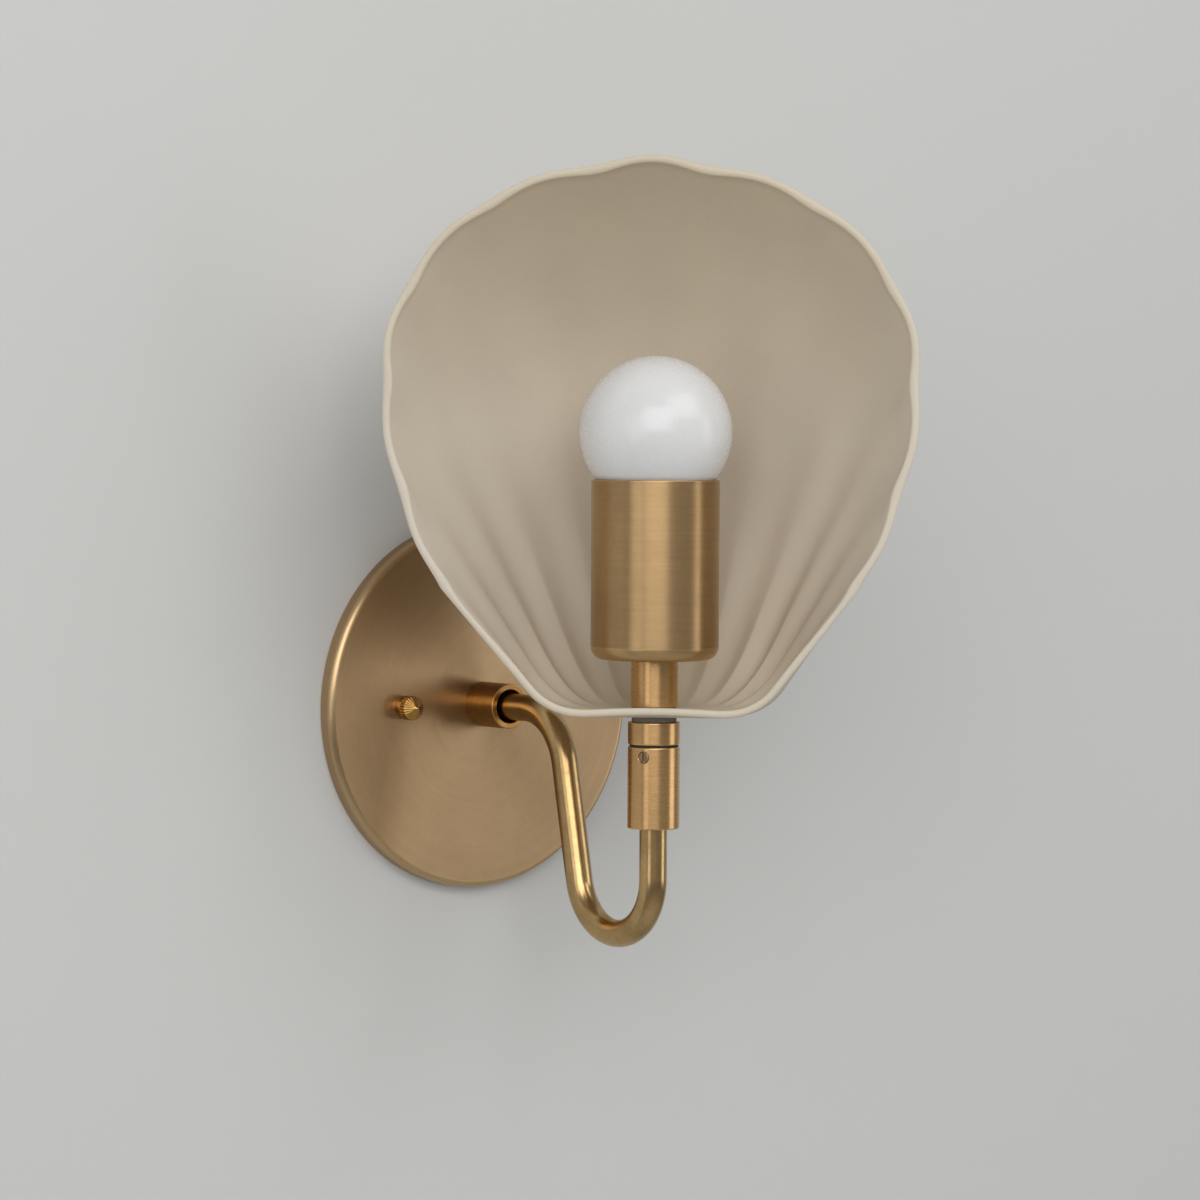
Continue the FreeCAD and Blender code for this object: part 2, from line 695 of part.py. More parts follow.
def make_swivel_ring():
    """The turning half: a ring with a spigot below it. A groove round most of the spigot takes the set
    screw's dog, and the metal left between the groove's two ends is the stop."""
    ring = half("dim.swivel_diameter")
    spigot = half("dim.spigot_diameter")
    thread = half("dim.nipple_diameter")
    wires = half("dim.wire_hole")
    foot = "-(dim.spigot_length + dim.swivel_washer)"
    body = turned("swivel_ring", [
        (wires, foot),
        (spigot, foot),
        (spigot, "0"),
        (ring, "0"),
        (ring, "dim.ring_height"),
        (thread, "dim.ring_height"),
        (thread, "0"),
        (wires, "0"),
    ])
    outer = size("swivel_diameter") / 2
    round_edges(body, [(outer, 0), (outer, size("ring_height"))], "dim.edge_break", "broken_edges",
                "PartDesign::Chamfer")
    middle = "-(dim.swivel_washer + dim.set_screw_drop)"
    high = f"{middle} + dim.groove_width / 2"
    low = f"{middle} - dim.groove_width / 2"
    deep = f"{spigot} - dim.groove_depth"
    wide = f"{spigot} + dim.groove_depth"
    section = new_sketch(body, "groove", "XZ_Plane")
    outline(section, [(deep, low), (wide, low), (wide, high), (deep, high)])
    section.AttachmentOffset = FreeCAD.Placement(FreeCAD.Vector(),
                                                 FreeCAD.Rotation(FreeCAD.Vector(0, 1, 0), 1))
    dog_angle = "asin(dim.dog_diameter / (dim.spigot_diameter - 2 * dim.groove_depth))"
    reach = "dim.swing_turn + dim.set_screw_turn + dim.swing_turn_play"
    section.setExpression("AttachmentOffset.Rotation.Angle", f"270 deg - ({reach}) * 1 deg - {dog_angle}")
    before = body.Shape.Volume
    cut = body.newObject("PartDesign::Groove", "swivel_ring_groove_cut")
    cut.Profile = section
    cut.ReferenceAxis = (section, ["V_Axis"])
    cut.setExpression("Angle", f"2 * (dim.swing_turn + dim.swing_turn_play) * 1 deg + 2 * {dog_angle}")
    doc.recompute()
    if not body.Shape.Volume < before:
        raise RuntimeError("swivel_ring: the groove cuts nothing")
    on_swivel_axis(body, RING_BASE, "dim.shade_turn")


# ---------------------------------------------------------------- stack that clamps the glass

def make_clamp_stack():
    """Nipple, washers, stem and nut, all about the swivel axis."""
    bore = f"{half('dim.nipple_diameter')} - dim.nipple_wall"
    nipple = turned("threaded_nipple", tube_outline(bore, half("dim.nipple_diameter"), NIPPLE_LENGTH))
    on_swivel_axis(nipple, RING_BASE)
    lower = turned("lower_shade_washer", tube_outline(NIPPLE_HOLE, half("dim.lower_washer_diameter"),
                                                      "dim.lower_washer"))
    on_swivel_axis(lower, LOWER_WASHER_BASE)
    upper = turned("upper_shade_washer", tube_outline(NIPPLE_HOLE, half("dim.upper_washer_diameter"),
                                                      "dim.upper_washer"))
    on_swivel_axis(upper, UPPER_WASHER_BASE)
    stem = turned("stem", tube_outline(NIPPLE_HOLE, half("dim.stem_diameter"), "dim.stem_height"))
    on_swivel_axis(stem, STEM_BASE)
    lock = nut("cup_nut", "dim.cup_nut_flats", half("dim.nipple_diameter"), "dim.cup_nut_height")
    on_swivel_axis(lock, CUP_NUT_BASE, "dim.shade_turn")


def make_cup():
    """The socket cup: a turned cup with a rounded foot, open at the top round the bulb."""
    outer = half("dim.cup_diameter")
    inner = f"{outer} - dim.cup_wall"
    body = turned("socket_cup", [
        (NIPPLE_HOLE, "0"),
        (outer, "0"),
        (outer, "dim.cup_height"),
        (inner, "dim.cup_height"),
        (inner, "dim.cup_floor"),
        (NIPPLE_HOLE, "dim.cup_floor"),
    ])
    round_edges(body, [(size("cup_diameter") / 2, 0)], "dim.cup_corner", "foot")
    inside = [(size("cup_diameter") / 2 - size("cup_wall"), size("cup_floor"))]
    round_edges(body, inside, "dim.cup_corner - dim.cup_wall", "foot_inside")
    on_swivel_axis(body, CUP_BASE)


# ---------------------------------------------------------------- lamp socket

def make_socket():
    """Bracket, insulating body, screw shell, centre contact and the two terminal screws."""
    plate_top = "dim.bracket_boss_height + dim.bracket_plate"
    bracket = turned("socket_bracket", [
        (half("dim.nipple_diameter"), "0"),
        (half("dim.bracket_boss_diameter"), "0"),
        (half("dim.bracket_boss_diameter"), "dim.bracket_boss_height"),
        (half("dim.bracket_plate_diameter"), "dim.bracket_boss_height"),
        (half("dim.bracket_plate_diameter"), plate_top),
        (half("dim.nipple_diameter"), plate_top),
    ])
    on_swivel_axis(bracket, BRACKET_BASE)

    shell_radius = total(half("dim.bulb_base_diameter"), "dim.screw_shell_play", "dim.screw_shell_metal")
    shell_bore = total(half("dim.bulb_base_diameter"), "dim.screw_shell_play")
    body = turned("socket_body", [
        (half("dim.wire_hole"), "0"),
        (half("dim.socket_diameter"), "0"),
        (half("dim.socket_diameter"), "dim.socket_height"),
        (shell_radius, "dim.socket_height"),
        (shell_radius, "dim.socket_base"),
        (half("dim.wire_hole"), "dim.socket_base"),
    ])
    holes = new_sketch(body, "terminal_holes", "XY_Plane")
    circle(holes, "dim.terminal_place", "0", "dim.terminal_shank_diameter")
    circle(holes, "-dim.terminal_place", "0", "dim.terminal_shank_diameter")
    pocket(body, holes, "dim.terminal_shank_length", "terminal_holes_cut", backwards=True)
    on_swivel_axis(body, SOCKET_BASE, "dim.shade_turn")

    lip = f"{shell_radius} - dim.screw_shell_lip"
    shell = turned("socket_screw_shell", [
        (lip, "0"),
        (shell_radius, "0"),
        (shell_radius, "dim.screw_shell_length"),
        (shell_bore, "dim.screw_shell_length"),
        (shell_bore, "dim.screw_shell_metal"),
        (lip, "dim.screw_shell_metal"),
    ])
    on_swivel_axis(shell, SHELL_BASE)

    contact = turned("socket_contact", [
        ("0", "0"),
        (half("dim.contact_diameter"), "0"),
        (half("dim.contact_diameter"), half("dim.contact_height")),
        (f"{half('dim.contact_diameter')} / 2", "dim.contact_height"),
        ("0", "dim.contact_height"),
    ])
    on_swivel_axis(contact, SHELL_BASE)

    for name, side in (("left", "-"), ("right", "")):
        head = half("dim.terminal_head_diameter")
        shank = half("dim.terminal_shank_diameter")
        screw = turned(f"terminal_screw_{name}", [
            ("0", "-dim.terminal_head_height"),
            (head, "-dim.terminal_head_height"),
            (head, "0"),
            (shank, "0"),
            (shank, "dim.terminal_shank_length"),
            ("0", "dim.terminal_shank_length"),
        ])
        screw.Placement.Rotation = FreeCAD.Rotation(FreeCAD.Vector(0, 0, -1), 1)
        screw.setExpression("Placement.Rotation.Angle", "dim.shade_turn")
        screw.setExpression("Placement.Base.x", f"{side}dim.terminal_place * cos(dim.shade_turn)")
        reach = f"-dim.arm_reach - ({side}dim.terminal_place * sin(dim.shade_turn))"
        screw.setExpression("Placement.Base.y", reach)
        screw.setExpression("Placement.Base.z", SOCKET_BASE)


# ---------------------------------------------------------------- bulb

def ball_and_neck(name, shrink, foot):
    """A sphere joined to the neck below it, both smaller than the bulb by `shrink` all round."""
    ball = doc.addObject("Part::Sphere", f"{name}_ball")
    ball.setExpression("Radius", f"{half('dim.bulb_diameter')} - {shrink}")
    ball.setExpression("Placement.Base.z", f"dim.bulb_length - {half('dim.bulb_diameter')}")
    neck = doc.addObject("Part::Cylinder", f"{name}_neck")
    neck.setExpression("Radius", f"{half('dim.bulb_neck_diameter')} - {shrink}")
    neck.setExpression("Placement.Base.z", foot)
    neck.setExpression("Height", f"dim.bulb_length - {half('dim.bulb_diameter')} - {foot}")
    both = doc.addObject("Part::Fuse", f"{name}_both")
    both.Base = ball
    both.Tool = neck
    return both


def make_bulb():
    """Opal globe with its screw base, insulator and tip, and the stem and filament sealed inside."""
    foot = "dim.bulb_insulator_top"
    globe = doc.addObject("Part::Cut", "bulb_globe")
    globe.Base = ball_and_neck("bulb_outside", "0", foot)
    globe.Tool = ball_and_neck("bulb_inside", "dim.bulb_glass", foot)
    globe.Label = "bulb_globe"
    parts.append(globe)
    on_swivel_axis(globe, BULB_BASE)

    outer = half("dim.bulb_base_diameter")
    inner = f"{outer} - dim.bulb_base_metal"
    base = turned("bulb_base", tube_outline(inner, outer, "dim.bulb_base_top - dim.bulb_base_bottom"))
    on_swivel_axis(base, total(BULB_BASE, "dim.bulb_base_bottom"))

    tip_radius = half("dim.bulb_tip_diameter")
    insulator = turned("bulb_insulator", [
        ("0", "dim.bulb_tip_height"),
        (tip_radius, "dim.bulb_tip_height"),
        (inner, "dim.bulb_base_bottom"),
        (inner, "dim.bulb_insulator_top"),
        ("0", "dim.bulb_insulator_top"),
    ])
    on_swivel_axis(insulator, BULB_BASE)

    tip = turned("bulb_tip", [
        ("0", "0"),
        (f"{tip_radius} / 2", "0"),
        (tip_radius, "dim.bulb_tip_height"),
        ("0", "dim.bulb_tip_height"),
    ])
    on_swivel_axis(tip, BULB_BASE)

    stem_radius = half("dim.inner_stem_diameter")
    inner_stem = turned("bulb_inner_stem", [
        ("0", "0"),
        (stem_radius, "0"),
        (f"{stem_radius} / 2", "dim.inner_stem_length"),
        ("0", "dim.inner_stem_length"),
    ])
    on_swivel_axis(inner_stem, total(BULB_BASE, "dim.bulb_insulator_top"))

    filament = turned("bulb_filament", [
        ("0", "0"),
        (half("dim.filament_diameter"), "0"),
        (half("dim.filament_diameter"), "dim.filament_length"),
        ("0", "dim.filament_length"),
    ])
    on_swivel_axis(filament, total(BULB_BASE, "dim.bulb_insulator_top", "dim.inner_stem_length"))


# ---------------------------------------------------------------- scallop-shell glass

# The glass is drawn in its own frame: X across, -Y towards the open front, Z up from its underside.
# A point of its smooth skin is named by two numbers. `fan` runs from -1 at the left side of the rim
# through 0 at the back to +1 at the right side, one flute after another. `climb` runs from 0 at the
# floor to 1 at the scalloped rim. Flute edges, the creases, lie at odd multiples of 1 / flute_count.

def rim_curve():
    """A smooth curve through the rim's crown, its crease points and its ends, with `fan` as its
    parameter. The glass is blown by hand, so its rim stands `rim_aside` to the left of its stem."""
    count = int(size("flute_count"))
    right = [(number / count, size(f"crease_{(number + 1) // 2}_out"), size(f"crease_{(number + 1) // 2}_up"))
             for number in range(1, count, 2)]
    right.append((1.0, size("rim_end_out"), size("rim_end_up")))
    left = [(-fan, -out, up) for fan, out, up in reversed(right)]
    knots = left + [(0.0, 0.0, size("crown_up"))] + right
    aside = FreeCAD.Vector(-size("rim_aside"), -size("rim_forward"), 0)
    curve = Part.BSplineCurve()
    curve.interpolate(Points=[FreeCAD.Vector(out, 0, up) + aside for fan, out, up in knots],
                      Parameters=[fan for fan, out, up in knots])
    return curve


def foot_direction(fan):
    """Unit direction in which the wall leaves the floor, and how far forward that point is moved."""
    count = size("flute_count")
    last = (count - 1) / count
    quarter = max(-1.0, min(1.0, fan / last)) * math.pi / 2
    forward = max(0.0, abs(fan) - last) * count * size("rim_forward")
    return FreeCAD.Vector(math.sin(quarter), math.cos(quarter), 0), forward


def smooth_point(rim, fan, climb):
    """The unfluted outside of the glass: a rounded foot, then a line to the rim that bows backwards."""
    direction, forward = foot_direction(fan)
    inner_foot = direction * size("floor_radius") - FreeCAD.Vector(0, forward, 0)
    outer_foot = inner_foot + direction * size("corner_radius")
    share = FOOT_SHARE / (2 - FOOT_SHARE)
    if climb < FOOT_SHARE:
        rise = share * (climb / FOOT_SHARE) ** 2
        foot = (1 - climb / FOOT_SHARE) ** 2
    else:
        rise = share + 2 * share / FOOT_SHARE * (climb - FOOT_SHARE)
        foot = 0.0
    point = outer_foot + (rim.value(fan) - outer_foot) * rise + (inner_foot - outer_foot) * foot
    bow = 1 - abs(rise - (1 - rise)) ** size("bowl_fullness")
    point.y += size("bowl_bulge") * (1 - fan * fan) * bow
    return point


def outward(rim, fan, climb):
    """Unit vector out of the glass; at the rim and along its sides it lies in the rim's own plane."""
    near_rim = max(climb ** RIM_BLEND, abs(fan) ** SIDE_BLEND)
    fan = max(-RIM_MARGIN, min(RIM_MARGIN, fan))
    climb = max(SLOPE_STEP, min(RIM_MARGIN, climb))
    along = smooth_point(rim, fan + SLOPE_STEP, climb) - smooth_point(rim, fan - SLOPE_STEP, climb)
    up = smooth_point(rim, fan, climb + SLOPE_STEP) - smooth_point(rim, fan, climb - SLOPE_STEP)
    normal = up.cross(along)
    normal.normalize()
    normal.y *= 1 - near_rim
    normal.normalize()
    return normal


def flute_height(fan, climb):
    """How far the flutes stand out of the smooth skin: nothing at a crease or at the floor."""
    wave = (1 + math.cos(size("flute_count") * math.pi * fan)) / 2
    rise = min(1.0, climb / FLUTE_FULL_AT)
    rise = rise * rise * (3 - 2 * rise)
    depth = size("flute_depth") + (size("flute_depth_rim") - size("flute_depth")) * climb
    return wave * rise * depth


def skin_point(rim, fan, climb, inside):
    """A point of the outside or the inside skin of the glass."""
    metal = size("glass_floor") + (size("glass") - size("glass_floor")) * climb if inside else 0.0
    if climb == 0:
        return smooth_point(rim, fan, climb) + FreeCAD.Vector(0, 0, metal)
    return smooth_point(rim, fan, climb) + outward(rim, fan, climb) * (flute_height(fan, climb) - metal)


def skin_grid(rim, inside):
    """Lines of points over one skin of the glass, each from the floor to the rim."""
    count = int(size("flute_count")) * SAMPLES_PER_FLUTE
    grid = []
    for column in range(count + 1):
        fan = 2 * column / count - 1
        grid.append([skin_point(rim, fan, row / ROWS_UP_THE_FLUTE, inside)
                     for row in range(ROWS_UP_THE_FLUTE + 1)])
    return grid


def skin(grid):
    """The smooth surface through a grid of points, with its four edges: foot, rim, left and right."""
    surface = Part.BSplineSurface()
    surface.interpolate(grid)
    first_fan, last_fan, first_climb, last_climb = surface.bounds()
    foot = surface.vIso(first_climb).toShape()
    edge = surface.vIso(last_climb).toShape()
    left = surface.uIso(first_fan).toShape()
    right = surface.uIso(last_fan).toShape()
    return surface.toShape(), foot, edge, left, right


def floor_face(foot, ends):
    """A flat face inside the foot of one skin, closed across the front by a straight edge."""
    front = Part.LineSegment(ends[-1], ends[0]).toShape()
    return Part.Face(Part.Wire([foot, front]))


def make_shell_shade():
    """The glass: an outside skin and an inside skin joined by the rim, on a flat drilled floor."""
    rim = rim_curve()
    outer_grid = skin_grid(rim, False)
    inner_grid = skin_grid(rim, True)
    outer = skin(outer_grid)
    inner = skin(inner_grid)
    faces = [outer[0], inner[0]]
    faces += [Part.makeRuledSurface(one, other) for one, other in zip(outer[2:], inner[2:])]
    outer_ends = [outer_grid[0][0], outer_grid[-1][0]]
    inner_ends = [inner_grid[0][0], inner_grid[-1][0]]
    faces += [floor_face(outer[1], outer_ends), floor_face(inner[1], inner_ends)]
    lip = [outer_ends[0], outer_ends[1], inner_ends[1], inner_ends[0], outer_ends[0]]
    faces.append(Part.Face(Part.makePolygon(lip)))
    shell = Part.Compound(faces)
    shell.sewShape()
    solid = Part.Solid(shell.Shells[0])
    if solid.Volume < 0:
        solid.reverse()
    drill = Part.makeCylinder(size("nipple_diameter") / 2 + size("glass_hole_play"), 3 * size("glass_floor"),
                              FreeCAD.Vector(0, 0, -size("glass_floor")))
    shade = doc.addObject("Part::Feature", "shell_shade")
    shade.Shape = solid.cut(drill)
    shade.Label = "shell_shade"
    parts.append(shade)
    on_swivel_axis(shade, GLASS_BASE, "dim.shade_turn")


make_canopy()
make_crossbar()
make_studs()
make_knurled_nuts()
make_ground_screw()
make_collar()
make_arm_clamp()
make_arm()
make_swivel_body()
make_set_screw()
make_swivel_washer()
make_swivel_ring()
make_clamp_stack()
make_cup()
make_socket()
make_bulb()
make_shell_shade()
doc.recompute()


def check_and_write():
    """Stops on any failed object, then writes each part to its own file."""
    for item in doc.Objects:
        if "Invalid" in item.State or "Error" in item.State:
            raise RuntimeError(f"{item.Label} failed: {item.State}")
    os.makedirs("parts", exist_ok=True)
    for part in parts:
        if part.Shape.isNull() or not part.Shape.isValid():
            raise RuntimeError(f"{part.Label} has no valid shape")
        part.Shape.exportStep(os.path.join("parts", f"{part.Label}.step"))
        box = part.Shape.BoundBox
        print(f"{part.Label}: {len(part.Shape.Solids)} solid, {part.Shape.Volume:.0f} mm3,"
              f" z {box.ZMin:.2f} to {box.ZMax:.2f}, y {box.YMin:.2f} to {box.YMax:.2f}")


check_and_write()
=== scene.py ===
import math

import bmesh
import bpy
import numpy as np
from mathutils import Matrix, Vector


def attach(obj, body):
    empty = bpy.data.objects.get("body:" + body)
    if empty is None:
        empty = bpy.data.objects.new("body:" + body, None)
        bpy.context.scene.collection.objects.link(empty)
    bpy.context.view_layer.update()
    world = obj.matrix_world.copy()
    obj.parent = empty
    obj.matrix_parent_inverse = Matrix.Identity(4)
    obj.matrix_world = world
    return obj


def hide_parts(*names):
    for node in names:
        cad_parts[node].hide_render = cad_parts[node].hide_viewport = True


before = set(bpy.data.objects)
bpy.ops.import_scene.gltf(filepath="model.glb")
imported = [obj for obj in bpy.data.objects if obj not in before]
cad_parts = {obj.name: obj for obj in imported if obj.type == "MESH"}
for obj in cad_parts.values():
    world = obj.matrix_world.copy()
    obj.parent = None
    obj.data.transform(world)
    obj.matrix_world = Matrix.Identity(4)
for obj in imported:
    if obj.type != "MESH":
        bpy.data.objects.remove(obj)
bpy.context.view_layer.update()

MM = 0.001
TAU = 2 * math.pi

# Where the upright swivel axis stands, how far the shade is turned to the left of straight out,
# and the heights of the stack on that axis, all in millimetres and degrees.
REACH = 105.0
SHADE_TURN = 41.0
SWIVEL_TOP = -9.0
SWIVEL_LENGTH = 28.1
RING_BASE = -8.2
GLASS_BASE = 1.4
STEM_BASE = 4.8
CUP_BASE = 20.9
BULB_BASE = 44.8
CANOPY_FACE = 6.5
STUD_PLACE = 34.925
IMAGE_SIZE = 1200

# In millimetres: radii of the canopy, the tube and its bore, the swivel, the wire's bore and the holes
# for the nipple, the sheet that the canopy is spun from, and the heights, from a piece's two ends, at
# which a thread that runs its whole length starts and stops.
CANOPY_RADIUS = 66.675
CANOPY_METAL = 1.0
TUBE_RADIUS = 4.7625
TUBE_BORE = 3.5
SWIVEL_RADIUS = 8.95
WIRE_BORE = 3.2
NIPPLE_HOLE = 5.05
THREAD_BELOW = -1.0
THREAD_ABOVE = 1.2


# ------------------------------------------------------------------ surfaces

def link(name, data):
    """A new object of the scene."""
    item = bpy.data.objects.new(name, data)
    bpy.context.scene.collection.objects.link(item)
    return item


def smooth_object(name, mesh):
    """Shades a finished mesh smooth and puts it into the scene."""
    mesh.polygons.foreach_set("use_smooth", np.ones(len(mesh.polygons), bool))
    mesh.update()
    return link(name, mesh)


def mark_edges(mesh, edge):
    """Writes how near to an edge each point is, 0 to 1, to the attribute that the materials read."""
    mesh.attributes.new("edge", "FLOAT", "POINT").data.foreach_set("value", np.asarray(edge, float))


def grid_faces(rows, columns, close_rows=False, close_columns=True):
    """The quads of a grid of points: the row and column of each one's first corner, and its corners."""
    i = np.arange(rows if close_rows else rows - 1)
    j = np.arange(columns if close_columns else columns - 1)
    i, j = (item.reshape(-1) for item in np.meshgrid(i, j, indexing="ij"))
    i2, j2 = (i + 1) % rows, (j + 1) % columns
    return i, j, np.stack([i * columns + j, i * columns + j2, i2 * columns + j2, i2 * columns + j], 1)


def mesh_piece(name, points, faces, uv, edge=None):
    """A mesh from point and quad arrays, with a UV map and an edge-closeness attribute. Its quads are
    turned round if the volume that they enclose comes out negative, so that they face outwards."""
    points = np.asarray(points, float)
    tri = np.vstack([faces[:, [0, 1, 2]], faces[:, [0, 2, 3]]])
    a, b, c = points[tri[:, 0]], points[tri[:, 1]], points[tri[:, 2]]
    volume = np.einsum("ij,ij->i", a, np.cross(b, c)).sum()
    order = slice(None) if volume > 0 else slice(None, None, -1)
    faces = faces[:, order]
    mesh = bpy.data.meshes.new(name)
    mesh.from_pydata((points * MM).tolist(), [], faces.tolist())
    layer = mesh.uv_layers.new(name="around")
    layer.data.foreach_set("uv", uv[:, order].reshape(-1))
    if edge is not None:
        mark_edges(mesh, edge)
    return smooth_object(name, mesh)


def grid_piece(name, grid, close_rows=False, edge=None):
    """A grid of points, rows by columns, as one sheet of quads whose columns close on themselves.
    A row whose points are all one point stays a row: its quads are merged into a pole afterwards."""
    rows, columns = grid.shape[:2]
    i, j, faces = grid_faces(rows, columns, close_rows)
    u, v = j / columns, i / rows
    u2, v2 = (j + 1) / columns, (i + 1) / rows
    uv = np.stack([np.stack([u, v], 1), np.stack([u2, v], 1), np.stack([u2, v2], 1),
                   np.stack([u, v2], 1)], axis=1)
    shade = None if edge is None else np.repeat(np.asarray(edge, float), columns)
    return mesh_piece(name, grid.reshape(-1, 3), faces, uv, shade)


def merge_poles(piece, distance=2e-7):
    """Merges points that lie on each other, so that a pole is one point and a seam is closed."""
    work = bmesh.new()
    work.from_mesh(piece.data)
    bmesh.ops.remove_doubles(work, verts=work.verts, dist=distance)
    work.to_mesh(piece.data)
    work.free()
    return piece


def rounded(corners, steps=5, support=0.12):
    """A profile through corners given as (radius, height, rounding). Each corner becomes an arc that
    touches both of its runs, with a supporting point just outside the arc at each end. Returns the
    points and, for each, 1 on an arc and 0 on a run."""
    corners = np.asarray(corners, float)
    count = len(corners)
    points, edge = [], []
    for k in range(count):
        here, rounding = corners[k, :2], corners[k, 2]
        before, after = corners[k - 1, :2] - here, corners[(k + 1) % count, :2] - here
        length_before, length_after = np.linalg.norm(before), np.linalg.norm(after)
        before, after = before / length_before, after / length_after
        angle = math.acos(np.clip(before @ after, -1, 1))
        if rounding <= 0 or angle > math.pi - 1e-3:
            points.append(here)
            edge.append(0.0)
            continue
        reach = min(rounding / math.tan(angle / 2), 0.48 * length_before, 0.48 * length_after)
        rounding = reach * math.tan(angle / 2)
        middle = before + after
        centre = here + middle / np.linalg.norm(middle) * rounding / math.sin(angle / 2)
        first, last = here + before * reach, here + after * reach
        start = math.atan2(*(first - centre)[::-1])
        sweep = (math.atan2(*(last - centre)[::-1]) - start + math.pi) % TAU - math.pi
        turn = start + sweep * np.linspace(0, 1, steps)
        arc = centre + rounding * np.stack([np.cos(turn), np.sin(turn)], axis=1)
        lead = min(support, 0.4 * (length_before - reach)), min(support, 0.4 * (length_after - reach))
        points += [first + before * lead[0], *arc, last + after * lead[1]]
        edge += [0.0] + [1.0] * steps + [0.0]
    return np.array(points), np.array(edge)


def even_angles(columns):
    """So many equal steps of a full turn."""
    return TAU * np.arange(columns) / columns


def turned_grid(profile, angle, radius_change=None):
    """A profile of (radius, height) turned about Z to the given angles: point = (r cos a, r sin a, h).
    radius_change(a, h, r) adds to the radius, for threads, knurls and dents."""
    r = np.repeat(profile[:, 0:1], len(angle), axis=1)
    h = np.repeat(profile[:, 1:2], len(angle), axis=1)
    a = np.repeat(angle[None, :], len(profile), axis=0)
    if radius_change is not None:
        r = r + radius_change(a, h, r)
    return np.stack([r * np.cos(a), r * np.sin(a), h], axis=-1)


def on_axis(grid, base, turn=0.0):
    """Stands a grid on the swivel axis at a height, turned to the left about the axis."""
    t = -math.radians(turn)
    x, y, z = grid[..., 0], grid[..., 1], grid[..., 2]
    cos, sin = math.cos(t), math.sin(t)
    return np.stack([x * cos - y * sin, x * sin + y * cos - REACH, z + base], -1)


def on_wall(grid, across=0.0, out=0.0):
    """Turns a grid's Z axis to point straight out of the wall: (x, y, z) becomes (x, -z, y)."""
    x, y, z = grid[..., 0], grid[..., 1], grid[..., 2]
    return np.stack([x + across, -z - out, y], -1)


def turned_piece(name, corners, place, columns=96, steps=5, radius_change=None, fine=None):
    """A closed ring-shaped profile, rounded and turned. `fine` is the greatest length of a run's
    parts, where radius_change needs them divided."""
    profile, edge = rounded(corners, steps)
    if fine is not None:
        profile, edge = divide_runs(profile, edge, fine)
    grid = place(turned_grid(profile, even_angles(columns), radius_change))
    piece = grid_piece(name, grid, close_rows=True, edge=edge)
    return merge_poles(piece) if profile[:, 0].min() < 1e-6 else piece


def divide_runs(profile, edge, spacing):
    """Divides every run of a closed profile into lengths of at most `spacing`."""
    points, marks = [], []
    for k in range(len(profile)):
        here, after = profile[k], profile[(k + 1) % len(profile)]
        parts = max(1, int(math.ceil(np.linalg.norm(after - here) / spacing)))
        share = np.arange(parts)[:, None] / parts
        points.append(here + (after - here) * share)
        next_mark = edge[(k + 1) % len(profile)]
        marks.append(edge[k] * (np.arange(parts) == 0) + (edge[k] * next_mark) * (np.arange(parts) > 0))
    return np.vstack(points), np.concatenate(marks)


def thread(pitch, depth, low, high):
    """A screw thread as a change of radius: a rounded ridge that climbs one pitch a turn, between two
    heights."""
    def change(a, h, r):
        wave = 0.5 - 0.5 * np.cos(TAU * (h / pitch - a / TAU))
        within = np.clip((h - low) / pitch, 0, 1) * np.clip((high - h) / pitch, 0, 1)
        return -depth * (1 - wave) * within
    return change


# ------------------------------------------------------------------ node groups and materials

def new_group(name, inputs, outputs):
    """A shader node group with named sockets; inputs are (name, kind, value)."""
    group = bpy.data.node_groups.new(name, "ShaderNodeTree")
    for label, kind, value in inputs:
        socket = group.interface.new_socket(label, in_out="INPUT", socket_type=kind)
        if value is not None:
            socket.default_value = value
    for label, kind in outputs:
        group.interface.new_socket(label, in_out="OUTPUT", socket_type=kind)
    return group, group.nodes.new("NodeGroupInput"), group.nodes.new("NodeGroupOutput")


class Wiring:
    """Short ways to add and join nodes in one tree."""

    def __init__(self, tree):
        self.tree = tree

    def node(self, kind, **values):
        item = self.tree.nodes.new(kind)
        for key, value in values.items():
            setattr(item, key, value)
        return item

    def put(self, socket, value):
        if hasattr(value, "is_output"):
            self.tree.links.new(value, socket)
        else:
            socket.default_value = value

    def math(self, operation, a, b=0.0, clamp=False):
        item = self.node("ShaderNodeMath", operation=operation, use_clamp=clamp)
        for socket, value in zip(item.inputs, (a, b)):
            self.put(socket, value)
        return item.outputs[0]

    def noise(self, vector, scale, detail=3.0, rough=0.55):
        item = self.node("ShaderNodeTexNoise", noise_dimensions="3D")
        self.put(item.inputs["Vector"], vector)
        self.put(item.inputs["Scale"], scale)
        self.put(item.inputs["Detail"], detail)
        self.put(item.inputs["Roughness"], rough)
        return item.outputs["Fac"]

    def spread(self, value, low, high, to_low=0.0, to_high=1.0):
        item = self.node("ShaderNodeMapRange", clamp=True)
        for label, given in (("Value", value), ("From Min", low), ("From Max", high), ("To Min", to_low),
                             ("To Max", to_high)):
            self.put(item.inputs[label], given)
        return item.outputs["Result"]

    def mix(self, share, a, b, blend="MIX"):
        item = self.node("ShaderNodeMix", data_type="RGBA", blend_type=blend)
        self.put(item.inputs[0], share)
        self.put(item.inputs[6], a)
        self.put(item.inputs[7], b)
        return item.outputs[2]

    def vector(self, x, y, z):
        item = self.node("ShaderNodeCombineXYZ")
        for socket, value in zip(item.inputs, (x, y, z)):
            self.put(socket, value)
        return item.outputs[0]

    def group(self, tree, **values):
        item = self.node("ShaderNodeGroup", node_tree=tree)
        for label, value in values.items():
            self.put(item.inputs[label.replace("_", " ")], value)
        return item

    def bump(self, height, distance):
        item = self.node("ShaderNodeBump")
        self.put(item.inputs["Height"], height)
        item.inputs["Distance"].default_value = distance
        return item.outputs["Normal"]


